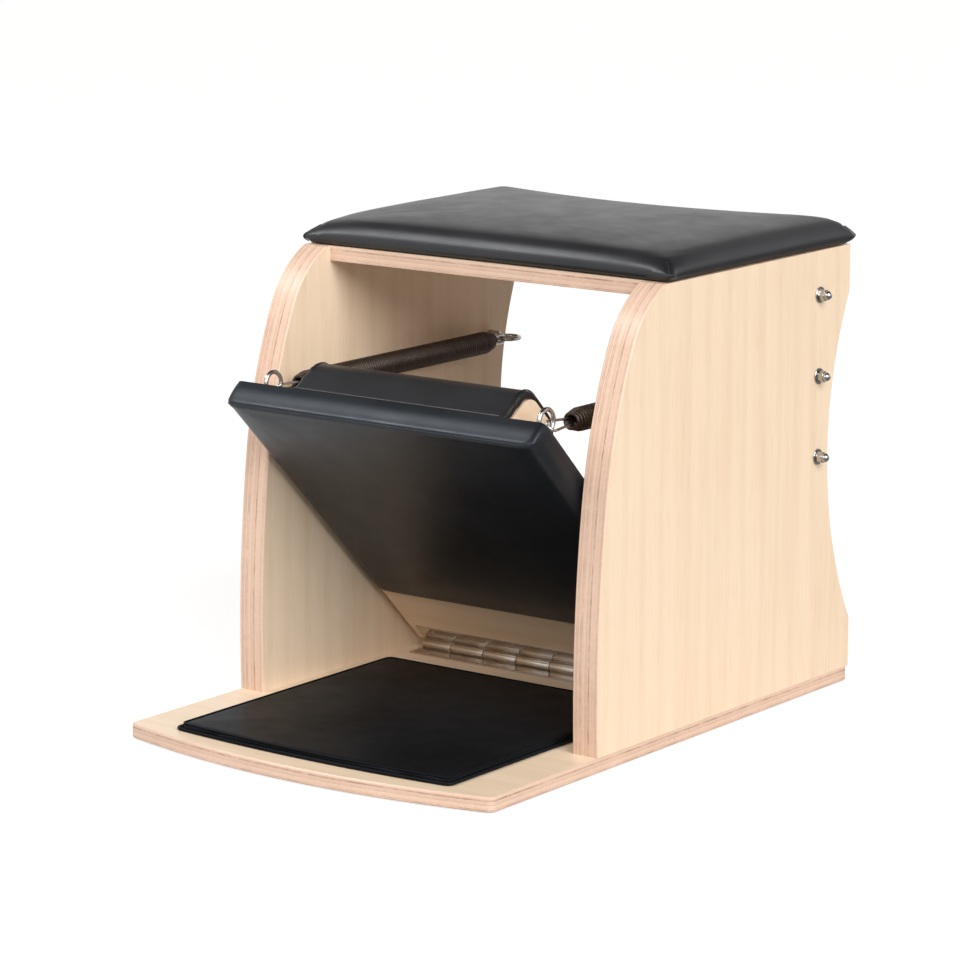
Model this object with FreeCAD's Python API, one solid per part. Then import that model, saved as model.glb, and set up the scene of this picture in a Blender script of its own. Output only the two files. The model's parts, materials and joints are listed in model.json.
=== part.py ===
import FreeCAD, Part
import math
import os
from FreeCAD import Vector

# Pilates chair: a plywood frame with a padded seat, and a padded pedal on a long
# hinge that two extension springs hold up. Millimetres, +X right, +Y back, +Z up.
# The origin is on the floor, at the middle of the chair's box.

# Frame boards
frame_width = 540.0
panel_thickness = 36.0
panel_height = 538.5
base_depth = 752.0
base_bow = 36.0
base_thickness = 18.0
base_corner_radius = 10.0
board_edge_bevel = 1.5

# Reaches and gaps run from the base's rear edge.
# Front edge of a side panel, from the seat down: three arcs that flow into each other
shoulder_reach = 419.0
shoulder_angle = 65.0
shoulder_radius = 130.0
shoulder_drop = 64.5
flank_radius = 640.0
flank_drop = 178.0
shin_radius = 1800.0

# Rear edge of a side panel: a straight lip, a hollow waist and a square heel
lip_gap = 12.0
lip_height = 58.0
lip_round = 22.0
waist_depth = 57.0
waist_height = 272.0
heel_height = 64.0
heel_round = 5.0

# Rubber grip pads under the base
grip_pad_thickness = 2.0
grip_pad_diameter = 40.0
grip_pad_inset = 35.0

# Mat on the base, in front of the hinge
mat_side_gap = 28.0
mat_front_setback = 5.0
mat_bow = 10.0
mat_hinge_gap = 52.0
mat_layer = 5.0
mat_step = 3.5
mat_corner_radius = 10.0

# Seat board, its cushion and the board inside the cushion
seat_front_reach = 411.0
seat_board_depth = 348.0
seat_board_thickness = 18.0
cushion_depth = 397.0
cushion_height = 42.0
cushion_corner_radius = 14.0
cushion_rear_hollow = 38.0
cushion_front_draw = 3.0
cushion_side_draw = 2.5
cushion_tuck = 5.0
cushion_tuck_rise = 8.0
cushion_edge_roll = 15.0
cushion_roll_middle = 4.5
cushion_crown = 7.0
cushion_crown_run = 120.0
cushion_board_thickness = 12.0
cushion_board_inset = 16.0

# Screws in the boards
screw_shank = 4.0
screw_head = 8.0
base_screw_length = 55.0
base_screw_count = 3
base_screw_end_gap = 40.0
cushion_screw_depth = 9.0
cushion_screw_side_gap = 24.0
cushion_screw_front_gap = 12.0
screw_head_height = 2.4

# Piano hinge between the base and the pedal
hinge_reach = 251.0
hinge_length = 426.0
leaf_width = 31.0
leaf_thickness = 2.0
knuckle_radius = 6.5
knuckle_pitch = 52.0
first_knuckle = 46.0
shortest_knuckle = 13.0
leaf_root_overlap = 1.0
knuckle_gap = 0.4
hinge_pin_diameter = 7.0
hinge_pin_clearance = 0.05
knuckle_floor_gap = 0.5
hinge_screw_length = 14.0
hinge_screw_count = 4
hinge_screw_end_gap = 24.0
hinge_screw_edge_gap = 8.0

# Pedal, measured up from the hinge axis along the board
pedal_lean = 45.0
pedal_side_gap = 6.0
pedal_board_thickness = 25.0
pedal_board_foot = 1.5
pedal_pad_start = 112.0
pedal_pad_length = 411.0
pedal_pad_wrap = 3.5
pedal_pad_front = 6.2
pedal_pad_crown = 4.0
pedal_pad_crown_run = 110.0
pedal_pad_roll = 4.0
pedal_corner_bevel = 4.0

# Foot bar on the back of the pedal
bar_length = 314.0
bar_top_gap = 20.0
bar_core_width = 92.0
bar_core_height = 60.0
bar_lean = 12.0
bar_core_round = 22.0
bar_pad_thickness = 8.0
bar_screw_count = 2
bar_screw_length = 60.0
bar_screw_end_gap = 40.0

# Eye bolts, their nuts and washers
bolt_diameter = 8.0
bolt_hole_clearance = 0.25
hole_overrun = 1.0
thread_clearance = 0.05
thread_end_gap = 1.0
ring_radius = 14.0
ring_wire = 5.6
collar_diameter = 14.0
eye_rear_gap = 83.0
eye_first_height = 282.0
eye_top_gap = 36.5
eye_reach = 31.0
washer_diameter = 20.0
washer_thickness = 2.0
nut_across_flats = 13.0
acorn_height = 15.0
acorn_hex_height = 8.0
acorn_bore_depth = 11.0
acorn_dome_angle = 65.0
acorn_dome_bands = 3
inner_nut_height = 8.0
pedal_eye_gap = 33.0
pedal_eye_collar = 4.8
tee_flange_diameter = 19.0
tee_flange_thickness = 1.6
tee_barrel_diameter = 11.0
tee_barrel_length = 9.0

# Springs and their hooks
coil_diameter = 29.0
coil_wire = 4.5
coil_turns = 16
coil_taper_turns = 1.5
coil_tip_diameter = 20.5
hook_wire = 3.4
hook_neck = 6.4
hook_flare = 9.6
hook_flare_run = 11.0
hook_leg_run = 7.0
hook_play = 0.3
hook_slack = 7.0
rear_hook_reach = 23.0
front_hook_reach = 44.0
front_hook_loop = 16.0
front_hook_turn = 30.0

# Flat faces of what repeats: round bars, screws, bent wire, its bends, rings and the coil's wire
bar_sides = 12
screw_sides = 8
wire_sides = 6
bend_steps = 6
ring_steps = 16
coil_sides = 5

# Places that follow from the sizes
half_width = frame_width / 2
inner_half = half_width - panel_thickness
corner_y = (base_bow - base_depth) / 2
rear_y = corner_y + base_depth
base_bottom = grip_pad_thickness
base_top = base_bottom + base_thickness
panel_top = base_top + panel_height
seat_front = rear_y - seat_front_reach
seat_board_bottom = panel_top - seat_board_thickness
cushion_rear = seat_front + cushion_depth
leaf_offset = knuckle_radius + knuckle_floor_gap
hinge_y = rear_y - hinge_reach
hinge_z = base_top + leaf_offset
hinge_half = hinge_length / 2
mat_half = inner_half - mat_side_gap
mat_rear = hinge_y - leaf_width - mat_hinge_gap
pedal_half = inner_half - pedal_side_gap
pedal_back = leaf_offset + pedal_board_thickness
pedal_pad_top = pedal_pad_start + pedal_pad_length
bar_front = pedal_pad_top - bar_top_gap
spring_x = inner_half - eye_reach
eye_y = rear_y - eye_rear_gap
ring_outer = ring_radius + ring_wire / 2
ring_inner = ring_radius - ring_wire / 2
pedal_eye_height = pedal_pad_top - pedal_eye_gap
pedal_ring_depth = pedal_back + pedal_eye_collar + ring_outer

X_AXIS = Vector(1, 0, 0)
Y_AXIS = Vector(0, 1, 0)
Z_AXIS = Vector(0, 0, 1)


# Small helpers
def box(low, high):
    """Box between two corners."""
    size = high - low
    return Part.makeBox(size.x, size.y, size.z, low)


def cylinder(start, direction, length, radius):
    """Round bar from a point along a direction."""
    return Part.makeCylinder(radius, length, start, direction)


def arc(start, middle, end):
    """Arc edge through three points."""
    return Part.Arc(start, middle, end).toShape()


def line(start, end):
    """Straight edge between two points."""
    return Part.LineSegment(start, end).toShape()


def joined(shapes):
    """One clean solid from solids that touch."""
    return shapes[0].fuse(shapes[1:]).removeSplitter()


def mirrored(shape):
    """The same piece on the other side of the chair."""
    return shape.mirror(Vector(0, 0, 0), X_AXIS)


def spread(first, last, count):
    """Evenly spaced values from first to last."""
    step = (last - first) / (count - 1)
    return [first + step * number for number in range(count)]


def polygon(centre, first, second, radius, sides):
    """Corners of a polygon in the plane of two unit vectors."""
    corners = []
    for number in range(sides):
        turn = 2 * math.pi * (number + 0.5) / sides
        corners.append(centre + first * (radius * math.cos(turn)) + second * (radius * math.sin(turn)))
    return corners


def closed(corners):
    """Closed wire through corners."""
    return Part.makePolygon(corners + corners[:1])


def section(start, direction, radius, sides):
    """Polygon square to a direction, turned the same way for a bar and for its hole."""
    first = X_AXIS if abs(direction.x) < 0.5 else Z_AXIS
    return polygon(start, first, direction.cross(first), radius, sides)


def bar(start, direction, length, radius, sides=bar_sides):
    """Many-sided bar from a point along a direction."""
    return Part.Face(closed(section(start, direction, radius, sides))).extrude(direction * length)


def skinned(loops, looped=False):
    """Solid of flat faces between rings of corners, with ends or joined into a loop."""
    faces = []
    if looped:
        loops = loops + loops[:1]
    else:
        faces += [Part.Face(closed(loops[0])), Part.Face(closed(loops[-1]))]
    sides = len(loops[0])
    for one, two in zip(loops, loops[1:]):
        for number in range(sides):
            after = (number + 1) % sides
            faces.append(Part.Face(closed([one[number], one[after], two[after], two[number]])))
    solid = Part.Solid(Part.Shell(faces))
    if solid.Volume < 0:
        solid.reverse()
    return solid


def eased(radius, clearance):
    """Radius of the hole that leaves a clearance at the flats of a bar."""
    return radius + clearance / math.cos(math.pi / bar_sides)


def rounded_edges(shape, radius, chosen):
    """Fillet the edges that a test picks."""
    return shape.makeFillet(radius, [edge for edge in shape.Edges if chosen(edge)])


def bevelled_edges(shape, size, chosen):
    """Bevel the edges that a test picks."""
    return shape.makeChamfer(size, [edge for edge in shape.Edges if chosen(edge)])


def along(edge, axis):
    """True for a straight edge parallel to an axis."""
    if not isinstance(edge.Curve, Part.Line):
        return False
    return abs(abs(edge.Curve.Direction.dot(axis)) - 1) < 1e-6


def wood_screw(head, direction, length, head_height):
    """Countersunk screw: its flat face is at head and its shank runs along direction."""
    neck = head + direction * head_height
    rim = section(head, direction, screw_head / 2, screw_sides)
    throat = section(neck, direction, screw_shank / 2, screw_sides)
    tip = section(head + direction * length, direction, screw_shank / 2, screw_sides)
    return skinned([rim, throat, tip])


# Outline of a rounded rectangle whose four sides may bend, seen along its third axis
def soft_outline(low, high, radius, bends, place):
    """Closed wire of four bent sides and four corner arcs. bends is how far the low v side,
    high u side, high v side and low u side pull in at their middles."""
    u_low, v_low = low
    u_high, v_high = high
    u_mid = (u_low + u_high) / 2
    v_mid = (v_low + v_high) / 2
    cut = radius * (1 - math.sqrt(0.5))
    bottom, right, top, left = bends
    route = [
        (u_low + radius, v_low), (u_mid, v_low + bottom), (u_high - radius, v_low),
        (u_high - cut, v_low + cut), (u_high, v_low + radius),
        (u_high - right, v_mid), (u_high, v_high - radius),
        (u_high - cut, v_high - cut), (u_high - radius, v_high),
        (u_mid, v_high - top), (u_low + radius, v_high),
        (u_low + cut, v_high - cut), (u_low, v_high - radius),
        (u_low + left, v_mid), (u_low, v_low + radius),
        (u_low + cut, v_low + cut), (u_low + radius, v_low),
    ]
    points = [place(u, v) for u, v in route]
    edges = []
    for number in range(0, len(points) - 1, 2):
        start, middle, end = points[number:number + 3]
        bend = (middle - start).cross(end - start).Length
        edges.append(line(start, end) if bend < 1e-6 else arc(start, middle, end))
    return Part.Wire(edges)


# Frame
def arc_down(start, angle, radius, drop):
    """Arc that starts at an angle from the vertical and falls by drop: edge, end, end angle."""
    end_sine = math.sin(angle) - drop / radius
    end_angle = math.asin(end_sine)
    middle_angle = (angle + end_angle) / 2

    def at(turn):
        ahead = radius * (math.cos(turn) - math.cos(angle))
        fall = radius * (math.sin(angle) - math.sin(turn))
        return start + Vector(0, -ahead, -fall)

    end = at(end_angle)
    return arc(start, at(middle_angle), end), end, end_angle


def side_panel():
    """Right side panel: hollowed at the back, rounded over at the front."""
    x = inner_half
    top_front = Vector(x, rear_y - shoulder_reach, panel_top)
    angle = math.radians(shoulder_angle)
    shoulder, point, angle = arc_down(top_front, angle, shoulder_radius, shoulder_drop)
    flank, point, angle = arc_down(point, angle, flank_radius, flank_drop)
    shin_drop = panel_height - shoulder_drop - flank_drop
    shin, foot_front, angle = arc_down(point, angle, shin_radius, shin_drop)
    foot_rear = Vector(x, rear_y, base_top)
    heel = Vector(x, rear_y, base_top + heel_height)
    lip_low = Vector(x, rear_y - lip_gap, panel_top - lip_height)
    waist = Vector(x, rear_y - waist_depth, base_top + waist_height)
    top_rear = Vector(x, rear_y - lip_gap, panel_top)
    outline = Part.Wire([
        shoulder, flank, shin,
        line(foot_front, foot_rear), line(foot_rear, heel),
        arc(heel, waist, lip_low), line(lip_low, top_rear), line(top_rear, top_front),
    ])
    panel = Part.Face(outline).extrude(Vector(panel_thickness, 0, 0))

    def at_corner(edge, corner):
        return along(edge, X_AXIS) and abs(edge.CenterOfMass.z - corner.z) < 0.01 \
            and abs(edge.CenterOfMass.y - corner.y) < 0.01

    panel = rounded_edges(panel, lip_round, lambda edge: at_corner(edge, lip_low))
    panel = rounded_edges(panel, heel_round, lambda edge: at_corner(edge, heel))

    def on_rim(edge):
        centre = edge.CenterOfMass
        flat = base_top + 0.01 < centre.z < panel_top - 0.01
        return flat and not along(edge, X_AXIS) and abs(edge.tangentAt(edge.FirstParameter).x) < 1e-6

    panel = bevelled_edges(panel, board_edge_bevel, on_rim)
    for height in eye_heights():
        hole_start = Vector(x - hole_overrun, eye_y, height)
        radius = eased(bolt_diameter / 2, bolt_hole_clearance)
        panel = panel.cut(bar(hole_start, X_AXIS, panel_thickness + 2 * hole_overrun, radius))
    for screw in base_screws():
        panel = panel.cut(screw)
    return panel


def base_board():
    """Base with a bowed front edge."""
    bottom = base_bottom
    points = [
        Vector(-half_width, corner_y, bottom), Vector(0, corner_y - base_bow, bottom),
        Vector(half_width, corner_y, bottom), Vector(half_width, rear_y, bottom),
        Vector(-half_width, rear_y, bottom),
    ]
    outline = Part.Wire([
        arc(points[0], points[1], points[2]), line(points[2], points[3]),
        line(points[3], points[4]), line(points[4], points[0]),
    ])
    board = Part.Face(outline).extrude(Vector(0, 0, base_thickness))
    board = rounded_edges(board, base_corner_radius, lambda edge: along(edge, Z_AXIS))
    board = bevelled_edges(board, board_edge_bevel, lambda edge: not along(edge, Z_AXIS))
    for screw in base_screws():
        board = board.cut(screw)
        board = board.cut(mirrored(screw))
    for screw in hinge_base_screws():
        board = board.cut(screw)
    return board


def grip_pads():
    """Rubber discs that the base stands on."""
    across = half_width - grip_pad_inset
    rows = spread(corner_y + grip_pad_inset, rear_y - grip_pad_inset, 3)
    pads = []
    for y in rows:
        for x in (-across, across):
            start = Vector(x, y, 0)
            pads.append(bar(start, Z_AXIS, grip_pad_thickness, grip_pad_diameter / 2))
    return pads


def base_mat():
    """Upholstered mat in two layers, the upper one drawn in by a step."""
    def outline(inset, height):
        low = (-mat_half + inset, corner_y + mat_front_setback + inset)
        high = (mat_half - inset, mat_rear - inset)
        bends = (-mat_bow, 0, 0, 0)
        return soft_outline(low, high, mat_corner_radius, bends, lambda u, v: Vector(u, v, height))

    middle = base_top + mat_layer
    top = middle + mat_layer
    roll = mat_layer / 2
    lower = Part.Face(outline(0, base_top)).extrude(Vector(0, 0, mat_layer))
    sides = [outline(mat_step, middle), outline(mat_step, top - roll)]
    crown = [outline(mat_step, top - roll), outline(mat_step + roll, top)]
    upper = joined([Part.makeLoft(sides, True, True), Part.makeLoft(crown, True, True)])
    return joined([lower, upper])


def seat_board():
    """Board between the panels under the cushion."""
    low = Vector(-inner_half, seat_front, seat_board_bottom)
    high = Vector(inner_half, seat_front + seat_board_depth, panel_top)
    board = box(low, high)
    for screw in cushion_screws():
        board = board.cut(screw)
    return board


def base_screws():
    """Screws from under the base into the right panel."""
    x = inner_half + panel_thickness / 2
    foot = rear_y - panel_foot_reach()
    screws = []
    for y in spread(foot + base_screw_end_gap, rear_y - base_screw_end_gap, base_screw_count):
        head = Vector(x, y, base_bottom)
        screws.append(wood_screw(head, Z_AXIS, base_screw_length, screw_head_height))
    return screws


def panel_foot_reach():
    """How far the panel's front edge stands before the base's rear edge at the floor."""
    angle = math.radians(shoulder_angle)
    reach = shoulder_reach
    shin_drop = panel_height - shoulder_drop - flank_drop
    runs = ((shoulder_radius, shoulder_drop), (flank_radius, flank_drop), (shin_radius, shin_drop))
    for radius, drop in runs:
        end = math.asin(math.sin(angle) - drop / radius)
        reach += radius * (math.cos(end) - math.cos(angle))
        angle = end
    return reach


# Seat
def cushion_outline(inset, height):
    """Cushion's plan at one height: hollow at the rear, drawn in at the front and sides."""
    low = (-half_width + inset, seat_front + inset)
    high = (half_width - inset, cushion_rear - inset)
    bends = (cushion_front_draw, cushion_side_draw, cushion_rear_hollow, cushion_side_draw)
    radius = cushion_corner_radius
    return soft_outline(low, high, radius, bends, lambda u, v: Vector(u, v, height))


def cushion_board():
    """Board that carries the cushion's foam."""
    inset = cushion_board_inset
    low = Vector(-half_width + inset, seat_front + inset, panel_top)
    rear = cushion_rear - cushion_rear_hollow - inset
    high = Vector(half_width - inset, rear, panel_top + cushion_board_thickness)
    board = box(low, high)
    for screw in cushion_screws():
        board = board.cut(screw)
    return board


def seat_cushion():
    """Crowned cushion with rolled edges, tucked in under its rim."""
    top = panel_top + cushion_height
    shoulder = top - cushion_crown
    rim_low = panel_top + cushion_tuck_rise
    rim_high = shoulder - cushion_edge_roll
    sections = [
        cushion_outline(cushion_tuck, panel_top),
        cushion_outline(0, rim_low),
        cushion_outline(0, rim_high),
        cushion_outline(cushion_roll_middle, shoulder - cushion_roll_middle),
        cushion_outline(cushion_edge_roll, shoulder),
        cushion_outline(cushion_crown_run, top),
    ]
    solids = [Part.makeLoft(list(pair), True, True) for pair in zip(sections, sections[1:])]
    low = Vector(-half_width + cushion_board_inset, seat_front + cushion_board_inset, panel_top)
    rear = cushion_rear - cushion_rear_hollow - cushion_board_inset
    pocket = box(low, Vector(-low.x, rear, panel_top + cushion_board_thickness))
    return joined(solids).cut(pocket)


def cushion_screws():
    """Screws up through the seat board into the cushion's board."""
    across = inner_half - cushion_screw_side_gap
    front = seat_front + cushion_board_inset + cushion_screw_front_gap
    rear = seat_front + seat_board_depth - cushion_board_inset - cushion_screw_front_gap
    length = seat_board_thickness + cushion_screw_depth
    screws = []
    for x in (-across, across):
        for y in (front, rear):
            head = Vector(x, y, seat_board_bottom)
            screws.append(wood_screw(head, Z_AXIS, length, screw_head_height))
    return screws


# Hinge. A leaf is drawn lying along +Y from the axis, with its back face below.
def knuckle_spans():
    """Start and end of each knuckle along the hinge, from the left."""
    cuts = [-hinge_half]
    place = -hinge_half + first_knuckle
    while place < hinge_half - shortest_knuckle:
        cuts.append(place)
        place += knuckle_pitch
    cuts.append(hinge_half)
    return list(zip(cuts, cuts[1:]))


def flat_leaf(parity):
    """One leaf with every other knuckle, along +Y, back face down."""
    root = knuckle_radius - leaf_root_overlap
    bottom = -leaf_offset
    plate = box(Vector(-hinge_half, root, bottom), Vector(hinge_half, leaf_width, bottom + leaf_thickness))
    pieces = [plate]
    for number, (start, end) in enumerate(knuckle_spans()):
        if number % 2 != parity:
            continue
        left = start + knuckle_gap / 2
        right = end - knuckle_gap / 2
        foot = box(Vector(left, 0, bottom), Vector(right, root, bottom + leaf_thickness))
        barrel = cylinder(Vector(left, 0, 0), X_AXIS, right - left, knuckle_radius)
        pieces += [foot, barrel]
    leaf = joined(pieces)
    bore = hinge_pin_diameter / 2 + hinge_pin_clearance
    leaf = leaf.cut(cylinder(Vector(-hinge_half, 0, 0), X_AXIS, hinge_length, bore))
    for screw in flat_leaf_screws():
        leaf = leaf.cut(screw)
    return leaf


def flat_leaf_screws():
    """Countersunk screws of a leaf that lies along +Y."""
    screws = []
    across = hinge_half - hinge_screw_end_gap
    y = leaf_width - hinge_screw_edge_gap
    for x in spread(-across, across, hinge_screw_count):
        head = Vector(x, y, leaf_thickness - leaf_offset)
        screws.append(wood_screw(head, -Z_AXIS, hinge_screw_length, leaf_thickness))
    return screws


def onto_base(shape):
    """Turn a leaf that lies along +Y to lie forwards on the base."""
    turned = shape.mirror(Vector(0, 0, 0), Y_AXIS)
    turned.translate(Vector(0, hinge_y, hinge_z))
    return turned


def onto_pedal_board(shape):
    """Turn a leaf that lies along +Y to stand on the pedal board's front face."""
    turned = shape.copy()
    turned.rotate(Vector(0, 0, 0), X_AXIS, 90)
    return turned


def hinge_base_screws():
    """Screws of the leaf on the base."""
    return [onto_base(screw) for screw in flat_leaf_screws()]


def hinge_pedal_screws():
    """Screws of the leaf on the pedal, in the pedal's own upright frame."""
    return [onto_pedal_board(screw) for screw in flat_leaf_screws()]


def hinge_pin():
    """Pin through every knuckle."""
    start = Vector(-hinge_half, hinge_y, hinge_z)
    return cylinder(start, X_AXIS, hinge_length, hinge_pin_diameter / 2)


# Pedal. Its pieces are drawn upright, hinge axis at the origin, front towards -Y.
def leaned(shape):
    """Lean an upright pedal piece forwards and set it on the hinge axis."""
    turned = shape.copy()
    turned.rotate(Vector(0, 0, 0), X_AXIS, pedal_lean)
    turned.translate(Vector(0, hinge_y, hinge_z))
    return turned


def pedal_board_block():
    """Pedal board before its holes."""
    across = pedal_half - pedal_pad_wrap
    low = Vector(-across, leaf_offset, pedal_board_foot)
    high = Vector(across, pedal_back, pedal_pad_top - pedal_pad_wrap)
    return box(low, high)


def pedal_board():
    """Plywood board of the pedal."""
    board = pedal_board_block()
    for side in (-1, 1):
        start = Vector(side * spring_x, leaf_offset, pedal_eye_height)
        hole = eased(bolt_diameter / 2, bolt_hole_clearance)
        board = board.cut(bar(start, Y_AXIS, pedal_board_thickness, hole))
        board = board.cut(bar(start, Y_AXIS, tee_barrel_length, tee_barrel_diameter / 2))
        board = board.cut(bar(start, Y_AXIS, tee_flange_thickness, tee_flange_diameter / 2))
    for screw in hinge_pedal_screws() + bar_screws():
        board = board.cut(screw)
    return board


def pedal_pad():
    """Thin upholstery over the pedal's front, wrapped round its top and sides."""
    def outline(inset, depth):
        across = pedal_half - inset
        low = pedal_pad_start + inset
        high = pedal_pad_top - inset
        cut = pedal_corner_bevel
        route = [
            (across - cut, low), (across, low + cut), (across, high - cut), (across - cut, high),
            (cut - across, high), (-across, high - cut), (-across, low + cut), (cut - across, low),
        ]
        return [Vector(u, depth, v) for u, v in route]

    front = leaf_offset - pedal_pad_front
    pad = skinned([
        outline(0, pedal_back),
        outline(0, front + pedal_pad_roll),
        outline(pedal_pad_roll, front),
        outline(pedal_pad_crown_run, front - pedal_pad_crown),
    ])
    return pad.cut(pedal_board_block())


def bar_block(margin, length):
    """Foot bar's rounded block on the pedal's back, grown outwards by margin."""
    slope = math.tan(math.radians(bar_lean))
    grow = margin / math.cos(math.radians(bar_lean))
    height = bar_core_height + margin
    front = bar_front - bar_pad_thickness + grow
    rear = bar_front - bar_pad_thickness - bar_core_width - grow
    points = [
        Vector(-length / 2, pedal_back, front), Vector(-length / 2, pedal_back + height, front - height * slope),
        Vector(-length / 2, pedal_back + height, rear + height * slope), Vector(-length / 2, pedal_back, rear),
    ]
    block = Part.Face(Part.makePolygon(points + points[:1])).extrude(Vector(length, 0, 0))
    top = pedal_back + height
    return rounded_edges(
        block, bar_core_round + margin,
        lambda edge: along(edge, X_AXIS) and abs(edge.CenterOfMass.y - top) < 0.01,
    )


def bar_core():
    """Wooden core of the foot bar."""
    core = bar_block(0, bar_length)
    for screw in bar_screws():
        core = core.cut(screw)
    return core


def bar_pad():
    """Padding wrapped over the foot bar's core, open at both ends."""
    return bar_block(bar_pad_thickness, bar_length).cut(bar_block(0, bar_length))


def bar_screws():
    """Screws from the pedal's front through its board into the foot bar."""
    across = bar_length / 2 - bar_screw_end_gap
    height = bar_front - bar_pad_thickness - bar_core_width / 2
    screws = []
    for x in spread(-across, across, bar_screw_count):
        head = Vector(x, leaf_offset, height)
        screws.append(wood_screw(head, Y_AXIS, bar_screw_length, screw_head_height))
    return screws


# Eye bolts and nuts
def mitred_wire(points, normal, radius, looped):
    """Wire of flat faces along straight runs in a plane, mitred where they meet."""
    count = len(points)
    runs = count if looped else count - 1
    ways = [(points[(number + 1) % count] - points[number]).normalize() for number in range(runs)]

    def slid(corner, way, point, facing):
        return corner + way * ((point - corner).dot(facing) / way.dot(facing))

    start = polygon(points[0], normal, ways[0].cross(normal), radius, wire_sides)
    if looped:
        start = [slid(corner, ways[0], points[0], ways[-1] + ways[0]) for corner in start]
    loops = [start]
    for number in range(1, count):
        way = ways[number - 1]
        facing = way + ways[number] if number < runs else way
        loops.append([slid(corner, way, points[number], facing) for corner in loops[-1]])
    return skinned(loops, looped)


def eye_bolt(ring_centre, shank, normal, shank_length, collar_length):
    """Eye bolt: a ring in the plane square to normal, a collar and a shank along the shank vector."""
    across = normal.cross(shank)
    ring = mitred_wire(polygon(ring_centre, shank, across, ring_radius, ring_steps), normal, ring_wire / 2, True)
    sunk = ring_wire / 2
    start = ring_centre + shank * (ring_outer - sunk)
    collar = bar(start, shank, sunk + collar_length, collar_diameter / 2)
    bolt = bar(start, shank, sunk + shank_length, bolt_diameter / 2)
    return joined([ring, collar, bolt])


def eye_heights():
    """Heights of the three eye bolts of a panel, the highest one clear of the seat board."""
    return spread(base_top + eye_first_height, seat_board_bottom - eye_top_gap, 3)


def panel_eye_bolt(height):
    """Eye bolt through the right panel, ring lying flat, thread in the acorn nut."""
    centre = Vector(spring_x, eye_y, height)
    to_face = eye_reach - ring_outer
    reach = to_face + panel_thickness + washer_thickness + acorn_bore_depth - thread_end_gap
    return eye_bolt(centre, X_AXIS, Z_AXIS, reach, to_face - inner_nut_height)


def pedal_eye_bolt():
    """Eye bolt through the pedal board, ring upright and in line with the spring."""
    centre = Vector(spring_x, pedal_ring_depth, pedal_eye_height)
    reach = pedal_eye_collar + pedal_board_thickness
    return eye_bolt(centre, -Y_AXIS, X_AXIS, reach, pedal_eye_collar)


def hexagon(start, direction, length):
    """Hexagonal bar of a nut's size."""
    return bar(start, direction, length, nut_across_flats / math.sqrt(3), 6)


def panel_washer(height):
    """Washer on the right panel's outer face."""
    start = Vector(half_width, eye_y, height)
    disc = bar(start, X_AXIS, washer_thickness, washer_diameter / 2)
    return disc.cut(bar(start, X_AXIS, washer_thickness, eased(bolt_diameter / 2, bolt_hole_clearance)))


def acorn_nut(height):
    """Domed nut on the washer, with a blind thread."""
    start = Vector(half_width + washer_thickness, eye_y, height)
    dome = acorn_height - acorn_hex_height
    base = start + X_AXIS * acorn_hex_height
    bands = []
    full = math.radians(acorn_dome_angle)
    for turn in spread(0, full, acorn_dome_bands):
        rise = dome * math.sin(turn) / math.sin(full)
        bands.append(section(base + X_AXIS * rise, X_AXIS, nut_across_flats / 2 * math.cos(turn), bar_sides))
    cap = skinned(bands)
    thread = bar(start, X_AXIS, acorn_bore_depth, eased(bolt_diameter / 2, thread_clearance))
    return joined([hexagon(start, X_AXIS, acorn_hex_height), cap]).cut(thread)


def inner_nut(height):
    """Nut against the right panel's inner face."""
    start = Vector(inner_half, eye_y, height)
    body = hexagon(start, -X_AXIS, inner_nut_height)
    return body.cut(bar(start, -X_AXIS, inner_nut_height, eased(bolt_diameter / 2, thread_clearance)))


def tee_nut():
    """Tee nut let into the pedal board's front, on the right eye bolt."""
    start = Vector(spring_x, leaf_offset, pedal_eye_height)
    flange = bar(start, Y_AXIS, tee_flange_thickness, tee_flange_diameter / 2)
    barrel = bar(start, Y_AXIS, tee_barrel_length, tee_barrel_diameter / 2)
    thread = bar(start, Y_AXIS, tee_barrel_length, eased(bolt_diameter / 2, thread_clearance))
    return joined([flange, barrel]).cut(thread)


# Springs. Distances along a spring run forwards from the ring that it hangs on.
def spring_line():
    """Rear ring's front limb, direction to the pedal's ring, and the distance between them."""
    rear = Vector(spring_x, eye_y - ring_radius, eye_heights()[1])
    upright = Vector(spring_x, pedal_ring_depth, pedal_eye_height)
    lean = math.radians(pedal_lean)
    ring_y = hinge_y + upright.y * math.cos(lean) - upright.z * math.sin(lean)
    ring_z = hinge_z + upright.y * math.sin(lean) + upright.z * math.cos(lean)
    ring = Vector(spring_x, ring_y, ring_z)
    ahead = ring - rear
    return rear, ahead.normalize(), (ring - rear).Length


def hook(tip, bend, loop, side, normal, inward):
    """Hairpin from inside the coil's tip round a ring and back. tip and bend are distances of
    the coil's tip and of the hairpin's outermost middle line. inward is 1 or -1, into the coil."""
    start, ahead, distance = spring_line()
    half = loop / 2
    shoulder = bend + inward * (half + hook_leg_run)
    leg = [
        (tip + inward * (hook_flare_run + hook_wire), hook_flare / 2),
        (tip + inward * hook_wire, hook_neck / 2),
        (tip - inward * hook_wire, hook_neck / 2),
        (shoulder, half),
    ]
    turns = [math.pi * (0.5 - number / bend_steps) for number in range(bend_steps + 1)]
    centre = bend + inward * half
    curve = [(centre - inward * half * math.cos(turn), half * math.sin(turn)) for turn in turns]
    route = leg + curve + [(along_spring, -across) for along_spring, across in reversed(leg)]
    points = [start + ahead * along_spring + side * across for along_spring, across in route]
    return mitred_wire(points, normal, hook_wire / 2, False)


def rear_hook():
    """Hook of the right spring on the panel's ring, upright."""
    start, ahead, distance = spring_line()
    side = X_AXIS.cross(ahead).normalize()
    half = ring_wire / 2 + hook_play + hook_wire / 2
    return hook(rear_hook_reach, -half, 2 * half, side, X_AXIS, 1)


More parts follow.
